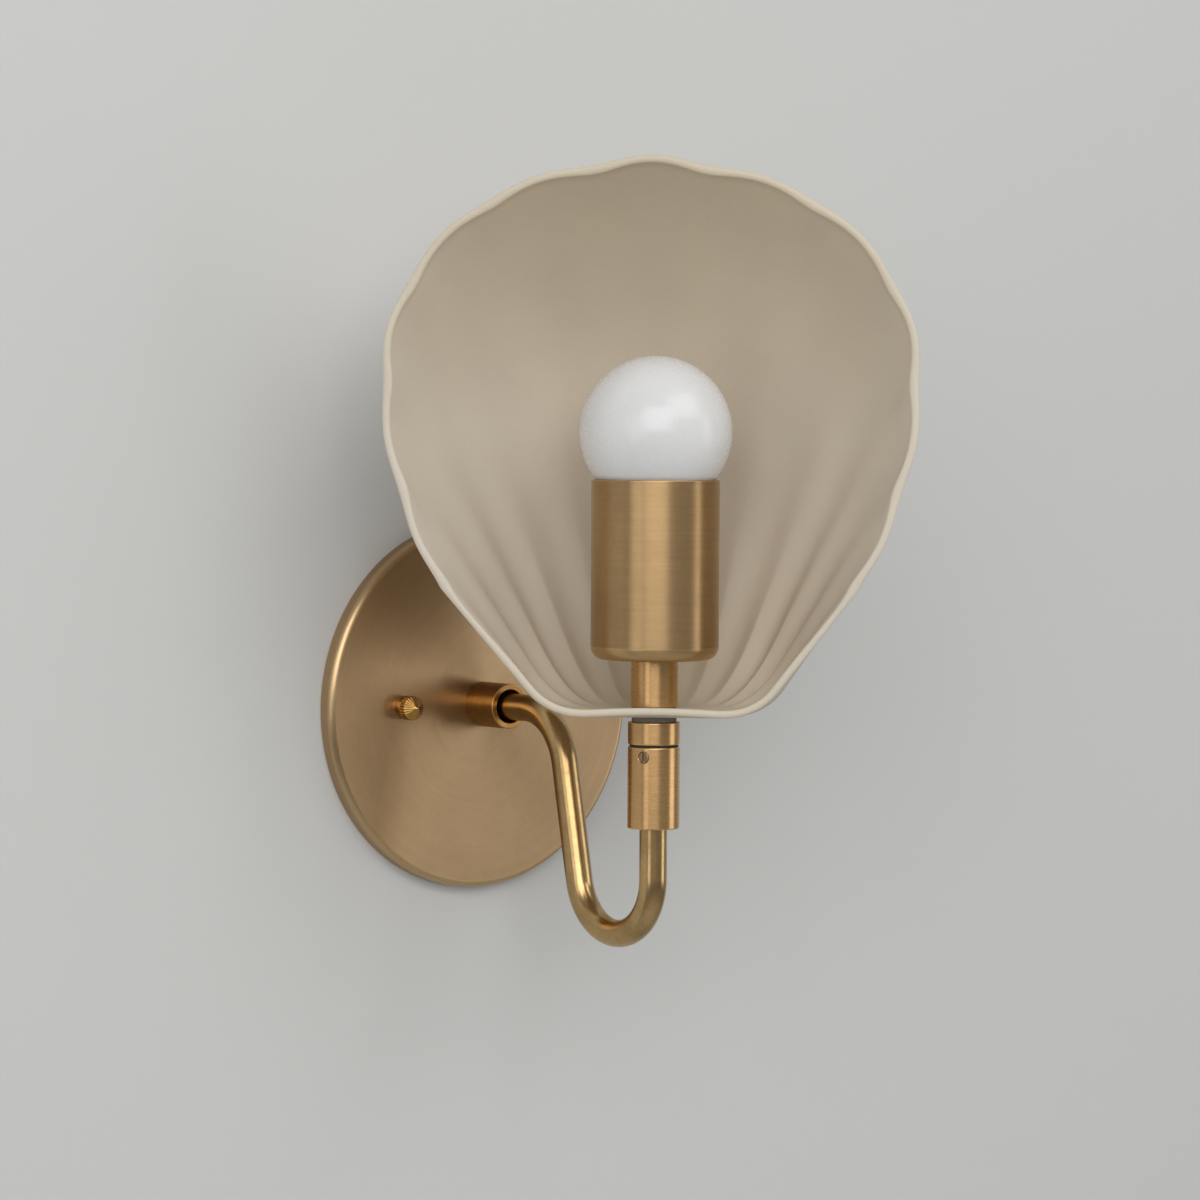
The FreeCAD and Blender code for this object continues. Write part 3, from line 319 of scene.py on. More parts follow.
def make_round_lines():
    """Fine lines left by turning or spinning: noise that hardly changes round the Z axis of the given
    position and changes fast along the profile, whether that runs outwards or upwards."""
    group, given, out = new_group("round_lines", [("Position", "NodeSocketVector", None),
                                                  ("Lines per metre", "NodeSocketFloat", 2500.0),
                                                  ("Streak", "NodeSocketFloat", 1.5)],
                                  [("Lines", "NodeSocketFloat"), ("Bands", "NodeSocketFloat")])
    w = Wiring(group)
    parts = w.node("ShaderNodeSeparateXYZ")
    w.put(parts.inputs[0], given.outputs["Position"])
    x, y, z = parts.outputs
    radius = w.math("SQRT", w.math("ADD", w.math("MULTIPLY", x, x), w.math("MULTIPLY", y, y)))
    safe = w.math("MAXIMUM", radius, 1e-5)
    along = w.math("ADD", radius, z)
    ux = w.math("MULTIPLY", w.math("DIVIDE", x, safe), given.outputs["Streak"])
    uy = w.math("MULTIPLY", w.math("DIVIDE", y, safe), given.outputs["Streak"])
    fine = w.vector(ux, uy, w.math("MULTIPLY", along, given.outputs["Lines per metre"]))
    bands_per_metre = w.math("MULTIPLY", given.outputs["Lines per metre"], 0.3)
    wide = w.vector(ux, uy, w.math("MULTIPLY", along, bands_per_metre))
    w.put(out.inputs["Lines"], w.noise(fine, 1.0, 4.0, 0.7))
    w.put(out.inputs["Bands"], w.noise(wide, 1.0, 2.0, 0.5))
    return group


def make_tarnish_and_edge_highlight():
    """Mottled colour of handled metal: two noises, one coarse and one fine, darken the clean colour. Edges
    marked on the mesh stay clean of it, as wear, and are lightened towards warm white, which is a painted
    highlight."""
    group, given, out = new_group("tarnish", [("Position", "NodeSocketVector", None),
                                              ("Clean", "NodeSocketColor", (0.8, 0.6, 0.4, 1)),
                                              ("Dark", "NodeSocketColor", (0.4, 0.3, 0.2, 1)),
                                              ("Amount", "NodeSocketFloat", 0.3),
                                              ("Patches per metre", "NodeSocketFloat", 60.0),
                                              ("Edge", "NodeSocketFloat", 0.0)],
                                  [("Color", "NodeSocketColor"), ("Mask", "NodeSocketFloat")])
    w = Wiring(group)
    position, patches = given.outputs["Position"], given.outputs["Patches per metre"]
    coarse = w.noise(position, patches, 3.0, 0.6)
    fine = w.noise(position, w.math("MULTIPLY", patches, 14.0), 3.0, 0.6)
    blend = w.math("ADD", w.spread(coarse, 0.35, 0.7), w.math("MULTIPLY", w.spread(fine, 0.45, 0.75), 0.35))
    mask = w.math("MULTIPLY", blend, given.outputs["Amount"], clamp=True)
    worn = w.math("MULTIPLY", mask, w.math("SUBTRACT", 1.0, given.outputs["Edge"]))
    colour = w.mix(worn, given.outputs["Clean"], given.outputs["Dark"])
    # Painted highlight: marked edges are lightened towards warm white, besides staying free of tarnish.
    rubbed_edge_and_highlight = w.math("MULTIPLY", given.outputs["Edge"], 0.35)
    bright = w.mix(rubbed_edge_and_highlight, colour, (1, 0.93, 0.82, 1), "SOFT_LIGHT")
    w.put(out.inputs["Color"], bright)
    w.put(out.inputs["Mask"], mask)
    return group


def make_grain():
    """Grain of a blasted or cast surface: fine bumps with a few deeper pits."""
    group, given, out = new_group("grain", [("Position", "NodeSocketVector", None),
                                            ("Grains per metre", "NodeSocketFloat", 3000.0)],
                                  [("Height", "NodeSocketFloat")])
    w = Wiring(group)
    position, grains = given.outputs["Position"], given.outputs["Grains per metre"]
    fine = w.noise(position, grains, 2.0, 0.7)
    pits = w.noise(position, w.math("MULTIPLY", grains, 0.4), 1.0, 0.5)
    mask = w.spread(pits, 0.62, 0.75)
    w.put(out.inputs["Height"], w.math("SUBTRACT", fine, w.math("MULTIPLY", mask, 0.5)))
    return group


ROUND_LINES = make_round_lines()
TARNISH_AND_EDGE_HIGHLIGHT = make_tarnish_and_edge_highlight()
GRAIN = make_grain()


def linear(red, green, blue):
    """A colour given as 0 to 255 display values, as the shader wants it."""
    value = np.array([red, green, blue]) / 255.0
    value = np.where(value <= 0.04045, value / 12.92, ((value + 0.055) / 1.055) ** 2.4)
    return (*value.tolist(), 1.0)


def new_material(name, **constants):
    """A material with its Principled shader, the constants set on it, and its Object coordinates."""
    material = bpy.data.materials.new(name)
    material.use_nodes = True
    w = Wiring(material.node_tree)
    shader = material.node_tree.nodes["Principled BSDF"]
    for label, value in constants.items():
        shader.inputs[label.replace("_", " ")].default_value = value
    position = w.node("ShaderNodeTexCoord").outputs["Object"]
    return material, w, shader, position


def centred(w, position, axis):
    """The position measured from an axis: 'swivel' has it upright, 'wall' pointing out at the canopy's
    middle, and 'left' and 'right' at the canopy's nuts."""
    item = w.node("ShaderNodeMapping", vector_type="POINT")
    w.put(item.inputs["Vector"], position)
    if axis == "swivel":
        item.inputs["Location"].default_value = (0, REACH * MM, 0)
        return item.outputs[0]
    item.inputs["Rotation"].default_value = (math.pi / 2, 0, 0)
    place = {"wall": 0.0, "left": STUD_PLACE * MM, "right": -STUD_PLACE * MM}[axis]
    item.inputs["Location"].default_value = (place, 0, 0)
    return item.outputs[0]


def brass(name, axis, clean, dark, amount, rough, lines=2600.0, streak=1.4, depth=1.2e-5, swirl=0.5,
          patches=55.0, anisotropic=0.55):
    """Brass with turned lines about an axis, tarnish, and cleaner edges that carry a painted highlight."""
    material, w, shader, position = new_material(name, Metallic=1.0, Anisotropic=anisotropic,
                                                 Anisotropic_Rotation=0.25)
    middle = centred(w, position, axis)
    marks = w.group(ROUND_LINES, Position=middle, Lines_per_metre=lines, Streak=streak)
    edge = w.node("ShaderNodeAttribute", attribute_name="edge").outputs["Fac"]
    stain = w.group(TARNISH_AND_EDGE_HIGHLIGHT, Position=position, Clean=clean, Dark=dark, Amount=amount,
                    Patches_per_metre=patches, Edge=edge)
    streaks = w.spread(marks.outputs["Bands"], 0.3, 0.7, 1 - 0.10 * swirl, 1 + 0.07 * swirl)
    grey = w.vector(streaks, streaks, streaks)
    w.put(shader.inputs["Base Color"], w.mix(1.0, stain.outputs["Color"], grey, "MULTIPLY"))
    smooth = w.spread(marks.outputs["Lines"], 0.2, 0.8, rough - 0.06, rough + 0.07)
    dull = w.math("MULTIPLY", stain.outputs["Mask"], 0.12)
    w.put(shader.inputs["Roughness"], w.math("ADD", smooth, dull))
    w.put(shader.inputs["Normal"], w.bump(marks.outputs["Lines"], depth))
    tangent = w.node("ShaderNodeTangent", direction_type="UV_MAP", uv_map="around")
    w.put(shader.inputs["Tangent"], tangent.outputs[0])
    return material


def drawn_tube(clean, dark):
    """Drawn brass tube: faint marks that run along it, and tarnish in patches. The tube's own UV map has
    the turn round it and the way along it."""
    material, w, shader, position = new_material("aged_brass", Metallic=1.0)
    parts = w.node("ShaderNodeSeparateXYZ")
    w.put(parts.inputs[0], w.node("ShaderNodeUVMap", uv_map="around").outputs[0])
    turn = w.math("MULTIPLY", parts.outputs[0], TAU)
    marks_round, marks_along = 9.0, 26.0
    lengthwise = w.vector(w.math("MULTIPLY", w.math("COSINE", turn), marks_round),
                          w.math("MULTIPLY", w.math("SINE", turn), marks_round),
                          w.math("MULTIPLY", parts.outputs[1], marks_along))
    marks = w.noise(lengthwise, 1.0, 4.0, 0.65)
    stain = w.group(TARNISH_AND_EDGE_HIGHLIGHT, Position=position, Clean=clean, Dark=dark, Amount=0.5,
                    Patches_per_metre=48.0, Edge=0.0)
    shade = w.spread(marks, 0.3, 0.7, 0.93, 1.04)
    grey = w.vector(shade, shade, shade)
    w.put(shader.inputs["Base Color"], w.mix(1.0, stain.outputs["Color"], grey, "MULTIPLY"))
    w.put(shader.inputs["Roughness"], w.math("ADD", w.spread(marks, 0.2, 0.8, 0.17, 0.25),
                                             w.math("MULTIPLY", stain.outputs["Mask"], 0.1)))
    w.put(shader.inputs["Normal"], w.bump(marks, 3e-6))
    return material


def plain_metal(name, clean, dark, rough, metallic=1.0):
    """Plated or cast metal without a turning direction: tarnish, fine grain, and cleaner edges that carry a
    painted highlight.
    """
    material, w, shader, position = new_material(name, Metallic=metallic)
    edge = w.node("ShaderNodeAttribute", attribute_name="edge").outputs["Fac"]
    stain = w.group(TARNISH_AND_EDGE_HIGHLIGHT, Position=position, Clean=clean, Dark=dark, Amount=0.3,
                    Patches_per_metre=120.0, Edge=edge)
    grain = w.group(GRAIN, Position=position, Grains_per_metre=2500.0)
    w.put(shader.inputs["Base Color"], stain.outputs["Color"])
    dull = w.math("MULTIPLY", stain.outputs["Mask"], 0.3)
    uneven = w.spread(grain.outputs["Height"], 0.2, 0.8, rough - 0.05, rough + 0.05)
    w.put(shader.inputs["Roughness"], w.math("ADD", dull, uneven))
    w.put(shader.inputs["Normal"], w.bump(grain.outputs["Height"], 1.0e-5))
    return material


def matt(name, clean, dark, rough, depth=2.0e-5, **constants):
    """Rubber, fibre, ceramic or plastic: uneven colour and a grained surface."""
    material, w, shader, position = new_material(name, **constants)
    stain = w.group(TARNISH_AND_EDGE_HIGHLIGHT, Position=position, Clean=clean, Dark=dark, Amount=0.5,
                    Patches_per_metre=150.0, Edge=0.0)
    grain = w.group(GRAIN, Position=position, Grains_per_metre=3500.0)
    w.put(shader.inputs["Base Color"], stain.outputs["Color"])
    uneven = w.spread(grain.outputs["Height"], 0.2, 0.8, rough - 0.06, rough + 0.06)
    w.put(shader.inputs["Roughness"], uneven)
    w.put(shader.inputs["Normal"], w.bump(grain.outputs["Height"], depth))
    return material


def frosted_glass():
    """Sand-blasted greige glass: light goes a little way into it, and its face has a fine bright grain. Its
    colour is made darker and more olive towards the crown and in the foot of the bowl, which is painted shade
    where the crown curls over and low in the bowl."""
    material, w, shader, position = new_material("frosted_glass", IOR=1.5, Subsurface_Scale=0.006,
                                                 Subsurface_Weight=0.35, Specular_IOR_Level=0.35)
    shader.inputs["Subsurface Radius"].default_value = (1.0, 0.85, 0.7)
    cloud = w.noise(position, 22.0, 3.0, 0.5)
    speck = w.noise(position, 1500.0, 2.0, 0.6)
    tone = w.mix(w.spread(cloud, 0.3, 0.7), linear(208, 198, 182), linear(203, 193, 178))
    tone = w.mix(w.spread(speck, 0.58, 0.78, 0.0, 0.3), tone, linear(222, 214, 200))
    parts = w.node("ShaderNodeSeparateXYZ")
    w.put(parts.inputs[0], position)
    # Painted shade: the colour is darkened and made more olive towards the crown and in the foot of the bowl.
    crown = w.spread(parts.outputs[2], 0.10, 0.185)
    foot = w.spread(parts.outputs[2], 0.006, 0.055, 0.55, 0.0)
    tone = w.mix(w.math("MAXIMUM", crown, foot), tone, w.mix(1.0, tone, (0.90, 0.87, 0.78, 1), "MULTIPLY"))
    edge = w.node("ShaderNodeAttribute", attribute_name="edge").outputs["Fac"]
    # Painted highlight: the glass is lightened along the rim's rounded edge, most where it faces forward.
    w.put(shader.inputs["Base Color"], w.mix(w.math("MULTIPLY", edge, 0.2), tone, linear(214, 207, 195)))
    grain = w.group(GRAIN, Position=position, Grains_per_metre=2600.0)
    w.put(shader.inputs["Roughness"], w.spread(grain.outputs["Height"], 0.2, 0.8, 0.50, 0.64))
    w.put(shader.inputs["Normal"], w.bump(grain.outputs["Height"], 3.0e-5))
    return material


def opal_glass():
    """Glossy opal white glass with faint unevenness and a little dust."""
    material, w, shader, position = new_material("opal_glass", IOR=1.5, Subsurface_Scale=0.008,
                                                 Subsurface_Weight=0.4, Coat_Weight=0.12,
                                                 Coat_Roughness=0.18)
    shader.inputs["Subsurface Radius"].default_value = (1.0, 1.0, 1.0)
    cloud = w.noise(position, 40.0, 2.0, 0.5)
    white = w.mix(w.spread(cloud, 0.3, 0.7), linear(236, 236, 236), linear(241, 241, 240))
    w.put(shader.inputs["Base Color"], white)
    dust = w.noise(position, 900.0, 3.0, 0.6)
    w.put(shader.inputs["Roughness"], w.spread(dust, 0.45, 0.8, 0.22, 0.34))
    w.put(shader.inputs["Normal"], w.bump(cloud, 4.0e-5))
    return material


FINISH = {
    "spun_brass": brass("spun_brass", "wall", linear(184, 155, 118), linear(150, 122, 89), 0.25, 0.34,
                        lines=3200.0, streak=0.9, swirl=0.3, patches=24.0, anisotropic=0.75, depth=5e-6),
    "collar_brass": brass("collar_brass", "wall", linear(190, 144, 86), linear(126, 90, 48), 0.5, 0.3,
                          lines=3200.0, swirl=1.2),
    "aged_brass": drawn_tube(linear(200, 168, 118), linear(122, 98, 60)),
    "satin_brass": brass("satin_brass", "swivel", linear(210, 169, 117), linear(150, 114, 72), 0.25, 0.27,
                         lines=3400.0, swirl=0.4, patches=60.0, streak=0.9, depth=1.6e-6),
    # A darker copy of the satin brass for the socket cup, which stands in the bowl: painted shade.
    "cup_brass_painted_shade": brass("cup_brass_painted_shade", "swivel", linear(178, 147, 106), linear(130, 103, 68), 0.25, 0.32,
                       lines=3400.0, swirl=0.5, patches=40.0, streak=0.9, depth=4e-6),
    **{f"polished_brass_{side}": brass(f"polished_brass_{side}", side, linear(184, 142, 78),
                                       linear(122, 88, 42), 0.35, 0.2, lines=4000.0, anisotropic=0.2)
       for side in ("left", "right")},
    "screw_brass": plain_metal("screw_brass", linear(150, 128, 96), linear(88, 68, 44), 0.3),
    "zinc_steel": plain_metal("zinc_steel", linear(196, 198, 200), linear(140, 140, 138), 0.36),
    "green_screw": plain_metal("green_screw", linear(58, 132, 76), linear(30, 70, 42), 0.38, metallic=0.6),
    "thread_brass": plain_metal("thread_brass", linear(212, 178, 116), linear(150, 116, 66), 0.3),
    "nickel": plain_metal("nickel", linear(206, 202, 194), linear(150, 144, 134), 0.22),
    "solder": plain_metal("solder", linear(186, 186, 184), linear(120, 120, 120), 0.45),
    "dark_fibre": matt("dark_fibre", linear(46, 38, 32), linear(24, 20, 18), 0.8),
    "grey_rubber": matt("grey_rubber", linear(126, 120, 109), linear(94, 89, 80), 0.75),
    "porcelain": matt("porcelain", linear(232, 230, 224), linear(206, 202, 192), 0.25, depth=5e-6,
                      Coat_Weight=0.5),
    "black_glass": matt("black_glass", linear(30, 28, 30), linear(18, 18, 20), 0.2, depth=4e-6,
                        Coat_Weight=0.4),
    "clear_glass": matt("clear_glass", linear(235, 240, 240), linear(220, 228, 228), 0.1, depth=2e-6,
                        Transmission_Weight=0.9),
    "filament_yellow": matt("filament_yellow", linear(226, 190, 82), linear(196, 150, 52), 0.55),
    "frosted_glass": frosted_glass(),
    "opal_glass": opal_glass(),
}


def dress(piece, finish, body, slot, *nodes):
    """Gives a new piece its material and body, and hides the CAD nodes that it stands for. The record slot is
    not used.
    """
    piece.data.materials.append(FINISH[finish])
    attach(piece, body)
    if nodes:
        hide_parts(*nodes)
    return piece


# ------------------------------------------------------------------ wall side

def make_canopy():
    """A spun dish as a turned profile: flat face, 2.2 mm rolled corner, and the inside 1 mm within."""
    hole, inside, back = 5.0, CANOPY_RADIUS - CANOPY_METAL, CANOPY_FACE - CANOPY_METAL
    corners = [(hole, back, 0.2), (inside, back, 1.2), (inside, 0, 0.3), (CANOPY_RADIUS, 0, 0.3),
               (CANOPY_RADIUS, CANOPY_FACE, 2.2), (hole, CANOPY_FACE, 0.2)]
    piece = turned_piece("canopy_dish", corners, on_wall, 240, 9, fine=4.0)
    dress(piece, "spun_brass", "wall_side", "spun_brass", "canopy")


def make_collar():
    """The collar as a turned profile, with its wide bore and the arm's seat at the bottom."""
    outside, length, bore = 8.1, 16.6, 6.075
    seat_bore, seat = 4.78, 4.0
    corners = [(seat_bore, 0, 0.1), (outside, 0, 0.2), (outside, length, 0.35), (bore, length, 0.3),
               (bore, seat, 0.2), (seat_bore, seat, 0.1)]
    piece = turned_piece("arm_collar_turned", corners, lambda g: on_wall(g, 0, CANOPY_FACE), 128, fine=3.0)
    dress(piece, "collar_brass", "wall_side", "spun_brass", "arm_collar")


def knurl(a, h, r):
    """Straight ribs round the front shoulder of a nut: 24 ridges that run on over the cone and fade
    towards its point."""
    band = np.clip((h - 3.0) / 0.25, 0, 1) * np.clip((r - 1.0) / 2.6, 0, 1) * (r > 0.5)
    ridge = np.abs(np.cos(12 * a)) ** 0.7
    return -0.34 * band * (1 - ridge)


def make_knurled_nuts():
    """A turned nut: a smooth foot, a narrow waist, a ribbed shoulder and a cone that ends in a point."""
    for side, place in (("left", -STUD_PLACE), ("right", STUD_PLACE)):
        corners = [(2.2, 0, 0.1), (4.1, 0, 0.25), (4.3, 1.6, 0.5), (4.1, 2.6, 0.15), (3.95, 2.8, 0.1),
                   (4.375, 3.05, 0.1), (4.375, 5.7, 0.3), (0.0, 8.8, 0.0), (0.0, 5.3, 0.0), (2.2, 5.3, 0.1)]
        piece = turned_piece(f"canopy_nut_{side}", corners, lambda g: on_wall(g, place, CANOPY_FACE),
                             columns=192, steps=4, radius_change=knurl, fine=0.22)
        dress(piece, f"polished_brass_{side}", f"nut_{side}", "polished_brass", f"knurled_nut_{side}")


def make_studs():
    """Studs with a screw thread of 0.79 mm a turn, cut 0.3 mm deep."""
    radius, length, pitch, depth = 2.085, 11.3, 0.79, 0.3
    for side, place in (("left", -STUD_PLACE), ("right", STUD_PLACE)):
        corners = [(0.0, 0, 0), (radius, 0, 0.2), (radius, length, 0.3), (0.0, length, 0)]
        piece = turned_piece(f"threaded_stud_{side}", corners, lambda g: on_wall(g, place),
                             columns=40, steps=4, fine=0.12,
                             radius_change=thread(pitch, depth, THREAD_BELOW, length + THREAD_ABOVE))
        dress(piece, "zinc_steel", "wall_side", "zinc_steel", f"stud_{side}")


def arm_path(spacing=1.0):
    """The arm's centre line as (out, up) points and directions: a run straight out, an arc of 23 mm
    radius, a leg 11.8 degrees off upright, a return arc of 20.7 mm radius and a run straight up into
    the swivel, which it enters by 12 mm."""
    slope, bend, back, drop, in_swivel = math.radians(11.8), 23.0, 20.7, 54.9, 12.0
    turn = math.pi / 2 - slope
    foot = np.array([REACH - back - back * math.cos(slope), -drop - back * math.sin(slope)])
    corner = foot[0] + math.tan(slope) * foot[1]
    reach = bend * math.tan(turn / 2)
    start, bend_start = np.array([2.0, 0.0]), np.array([corner - reach, 0.0])
    leg_top = np.array([corner + reach * math.sin(slope), -reach * math.cos(slope)])
    end = np.array([REACH, in_swivel + SWIVEL_TOP - SWIVEL_LENGTH])

    def run(a, b):
        n = max(2, int(np.linalg.norm(b - a) / spacing))
        share = np.arange(n)[:, None] / n
        return a + (b - a) * share, np.repeat([(b - a) / np.linalg.norm(b - a)], n, axis=0)

    def arc(centre, radius, first, last):
        n = max(2, int(abs(last - first) * radius / spacing))
        t = first + (last - first) * np.arange(n) / n
        side = np.sign(last - first)
        return (centre + radius * np.stack([np.cos(t), np.sin(t)], 1),
                side * np.stack([-np.sin(t), np.cos(t)], 1))

    pieces = [run(start, bend_start),
              arc(np.array([bend_start[0], -bend]), bend, math.pi / 2, slope),
              run(leg_top, foot),
              arc(np.array([REACH - back, -drop]), back, math.pi + slope, TAU),
              run(np.array([REACH, -drop]), end)]
    points = np.vstack([item[0] for item in pieces] + [end[None]])
    directions = np.vstack([item[1] for item in pieces] + [pieces[-1][1][-1:]])
    return points, directions


def make_arm():
    """The tube as a ring 9.525 mm across carried along the arm's centre line, with its bore inside: each
    ring lies across the line's direction."""
    points, directions = arm_path()
    count, columns = len(points), 64
    angle = even_angles(columns)
    centre = np.stack([np.zeros(count), -points[:, 0], points[:, 1]], 1)
    normal = np.stack([np.zeros(count), directions[:, 1], directions[:, 0]], 1)
    across = np.array([1.0, 0, 0])

    def ring(radius, rows):
        return (centre[rows, None, :] + radius * (np.cos(angle)[None, :, None] * normal[rows, None, :]
                                                  + np.sin(angle)[None, :, None] * across))

    every = np.arange(count)
    grid = np.concatenate([ring(TUBE_RADIUS, every), ring(TUBE_BORE, every[::-1])])
    piece = grid_piece("arm_bent_tube", grid, close_rows=True)
    dress(piece, "aged_brass", "wall_side", "aged_brass", "arm_tube")


def place_swivel(base):
    """A way to stand a turned grid on the swivel axis at a height."""
    return lambda grid: on_axis(grid, base)


# The set screw: its turn about the swivel axis, how far it lies below the body's top, and its hole.
SCREW_ANGLE = -math.pi / 2 - math.radians(63.0)
SCREW_DROP = 3.3
SCREW_HEIGHT = SWIVEL_LENGTH - SCREW_DROP
SCREW_HOLE_RADIUS = 2.0
SCREW_HOLE_DEPTH = 1.0


def screw_dent(a, h, r):
    """A round hole 4 mm across for the set screw: inside it the wall goes in by 1 mm."""
    side = SWIVEL_RADIUS * ((a - SCREW_ANGLE + math.pi) % TAU - math.pi)
    distance = np.hypot(side, h - SCREW_HEIGHT)
    on_outside, edge_width = r > SWIVEL_RADIUS - 0.45, 0.12
    within = np.clip((SCREW_HOLE_RADIUS - distance) / edge_width + 0.5, 0, 1)
    return -SCREW_HOLE_DEPTH * on_outside * within


def make_swivel_body():
    """The fixed half of the swivel, with grid lines crowded round the set screw's hole."""
    tube_hole, tube_depth, spigot_hole, spigot_floor = 4.7, 12.0, 6.6, 17.1
    corners = [(tube_hole, 0, 0.1), (SWIVEL_RADIUS, 0, 0.35), (SWIVEL_RADIUS, SWIVEL_LENGTH, 0.35),
               (spigot_hole, SWIVEL_LENGTH, 0.1), (spigot_hole, spigot_floor, 0.1),
               (WIRE_BORE, spigot_floor, 0.1), (WIRE_BORE, tube_depth, 0.1), (tube_hole, tube_depth, 0.1)]
    profile, edge = rounded(corners, 5)
    profile, edge = divide_runs(profile, edge, 2.2)
    top = np.arange(SCREW_HEIGHT + 2.4, SCREW_HEIGHT - 2.4, -0.1)
    outer = (profile[:, 0] > SWIVEL_RADIUS - 0.01) & (abs(profile[:, 1] - SCREW_HEIGHT) < 2.6)
    first = int(np.argmax(outer))
    kept = ~outer
    before, after = profile[:first][kept[:first]], profile[first:][kept[first:]]
    marks = np.concatenate([edge[:first][kept[:first]], np.zeros(len(top)), edge[first:][kept[first:]]])
    profile = np.vstack([before, np.stack([np.full(len(top), SWIVEL_RADIUS), top[::-1]], 1), after])
    coarse = even_angles(96)
    near = SCREW_ANGLE % TAU + np.arange(-0.28, 0.28, 0.011)
    far = coarse[np.abs((coarse - SCREW_ANGLE + math.pi) % TAU - math.pi) > 0.3]
    angle = np.sort(np.concatenate([far, near % TAU]))
    grid = on_axis(turned_grid(profile, angle, screw_dent), SWIVEL_TOP - SWIVEL_LENGTH)
    piece = grid_piece("swivel_lower_half", grid, close_rows=True, edge=marks)
    dress(piece, "satin_brass", "wall_side", "satin_brass", "swivel_body")


def make_set_screw():
    """A slotted disc in the screw hole: a turned button whose face drops 0.7 mm inside the slot."""
    radius, height, half_slot, slot_depth, seat = 1.85, 2.2, 0.42, 0.7, 6.45
    corners = [(0, 0, 0), (radius, 0, 0.1), (radius, height, 0.25), (0, height, 0)]
    profile, edge = rounded(corners, 4)
    profile, edge = divide_runs(profile, edge, 0.12)
    grid = turned_grid(profile, even_angles(96))
    in_slot = np.clip((half_slot - np.abs(grid[..., 0])) / 0.08 + 0.5, 0, 1)
    grid[..., 2] -= slot_depth * in_slot * (grid[..., 2] > 1.2)
    out = np.array([math.cos(SCREW_ANGLE), math.sin(SCREW_ANGLE), 0])
    side = np.array([-out[1], out[0], 0])
    up = np.array([0, 0, 1.0])
    centre = np.array([0, -REACH, SWIVEL_TOP - SCREW_DROP])
    placed = centre + grid[..., 0:1] * side + grid[..., 1:2] * up + (grid[..., 2:3] + seat) * out
    piece = merge_poles(grid_piece("set_screw_slotted", placed, close_rows=True, edge=edge))
    dress(piece, "screw_brass", "wall_side", "polished_brass", "set_screw")


def make_rings():
    """Washers, swivel ring, stem and cup: each a turned profile with broken edges. Each entry gives
    the piece's name, CAD node, body, finish, record slot, height and corners."""
    stack = [
        ("swivel_washer_fibre", "swivel_washer", "wall_side", "dark_fibre", "dark_fibre", SWIVEL_TOP,
         [(6.6, 0, 0.1), (8.4, 0, 0.2), (8.4, 0.77, 0.2), (6.6, 0.77, 0.1)]),
        ("swivel_upper_ring", "swivel_ring", "shade_side", "satin_brass", "satin_brass", RING_BASE,
         [(WIRE_BORE, -11.2, 0.1), (6.5, -11.2, 0.4), (6.5, -5.4, 0.1), (5.2, -5.4, 0.05),
          (5.2, -2.8, 0.05), (6.5, -2.8, 0.1), (6.5, 0, 0.05), (SWIVEL_RADIUS, 0, 0.35),
          (SWIVEL_RADIUS, 7.7, 0.35), (4.95, 7.7, 0.1), (4.95, 0, 0.1), (WIRE_BORE, 0, 0.1)]),
        ("shade_washer_lower", "lower_shade_washer", "shade_side", "grey_rubber", "grey_rubber", -0.5,
         [(NIPPLE_HOLE, 0, 0.1), (7.7, 0, 0.3), (7.7, 1.9, 0.3), (NIPPLE_HOLE, 1.9, 0.1)]),
        ("shade_washer_upper", "upper_shade_washer", "shade_side", "grey_rubber", "grey_rubber", 4.0,
         [(NIPPLE_HOLE, 0, 0.1), (7.5, 0, 0.25), (7.5, 0.8, 0.25), (NIPPLE_HOLE, 0.8, 0.1)]),
        ("stem_tube", "stem", "shade_side", "satin_brass", "satin_brass", STEM_BASE,
         [(NIPPLE_HOLE, 0, 0.1), (8.1, 0, 0.25), (8.1, 16.1, 0.25), (NIPPLE_HOLE, 16.1, 0.1)]),
        ("socket_cup_turned", "socket_cup", "shade_side", "cup_brass_painted_shade", "satin_brass", CUP_BASE,
         [(NIPPLE_HOLE, 0, 0.1), (22.0, 0, 4.5), (22.0, 61.5, 0.3), (21.0, 61.5, 0.3),
          (21.0, 1.2, 3.5), (NIPPLE_HOLE, 1.2, 0.1)]),
    ]
    for name, node, body, finish, slot, base, corners in stack:
        steps = 12 if node == "socket_cup" else 5
        piece = turned_piece(name, corners, place_swivel(base), 144, steps, fine=4.0)
        dress(piece, finish, body, slot, node)


def make_nipple():
    """The hollow nipple, with a screw thread of 0.94 mm a turn, cut 0.3 mm deep."""
    bore, radius, length, pitch, depth = 3.3, 4.9, 38.3, 0.94, 0.3
    corners = [(bore, 0, 0.2), (radius, 0, 0.3), (radius, length, 0.3), (bore, length, 0.2)]
    nipple = turned_piece("nipple_threaded", corners, place_swivel(RING_BASE), columns=48, steps=4, fine=0.16,
                          radius_change=thread(pitch, depth, THREAD_BELOW, length + THREAD_ABOVE))
    dress(nipple, "zinc_steel", "shade_side", "zinc_steel", "threaded_nipple")


def make_bulb_base():
    """The bulb's screw base, with a rounded thread of 3.63 mm a turn, cut 0.6 mm deep."""
    inside, outside, low, high, pitch, depth = 12.3, 12.9, 5.2, 26.0, 3.63, 0.6
    corners = [(inside, low, 0.1), (outside, low, 0.2), (outside, high, 0.2), (inside, high, 0.1)]
    base = turned_piece("bulb_screw_base", corners, place_swivel(BULB_BASE), columns=96, steps=4, fine=0.3,
                        radius_change=thread(pitch, depth, 5.0, 25.0))
    dress(base, "nickel", "bulb", "nickel", "bulb_base")


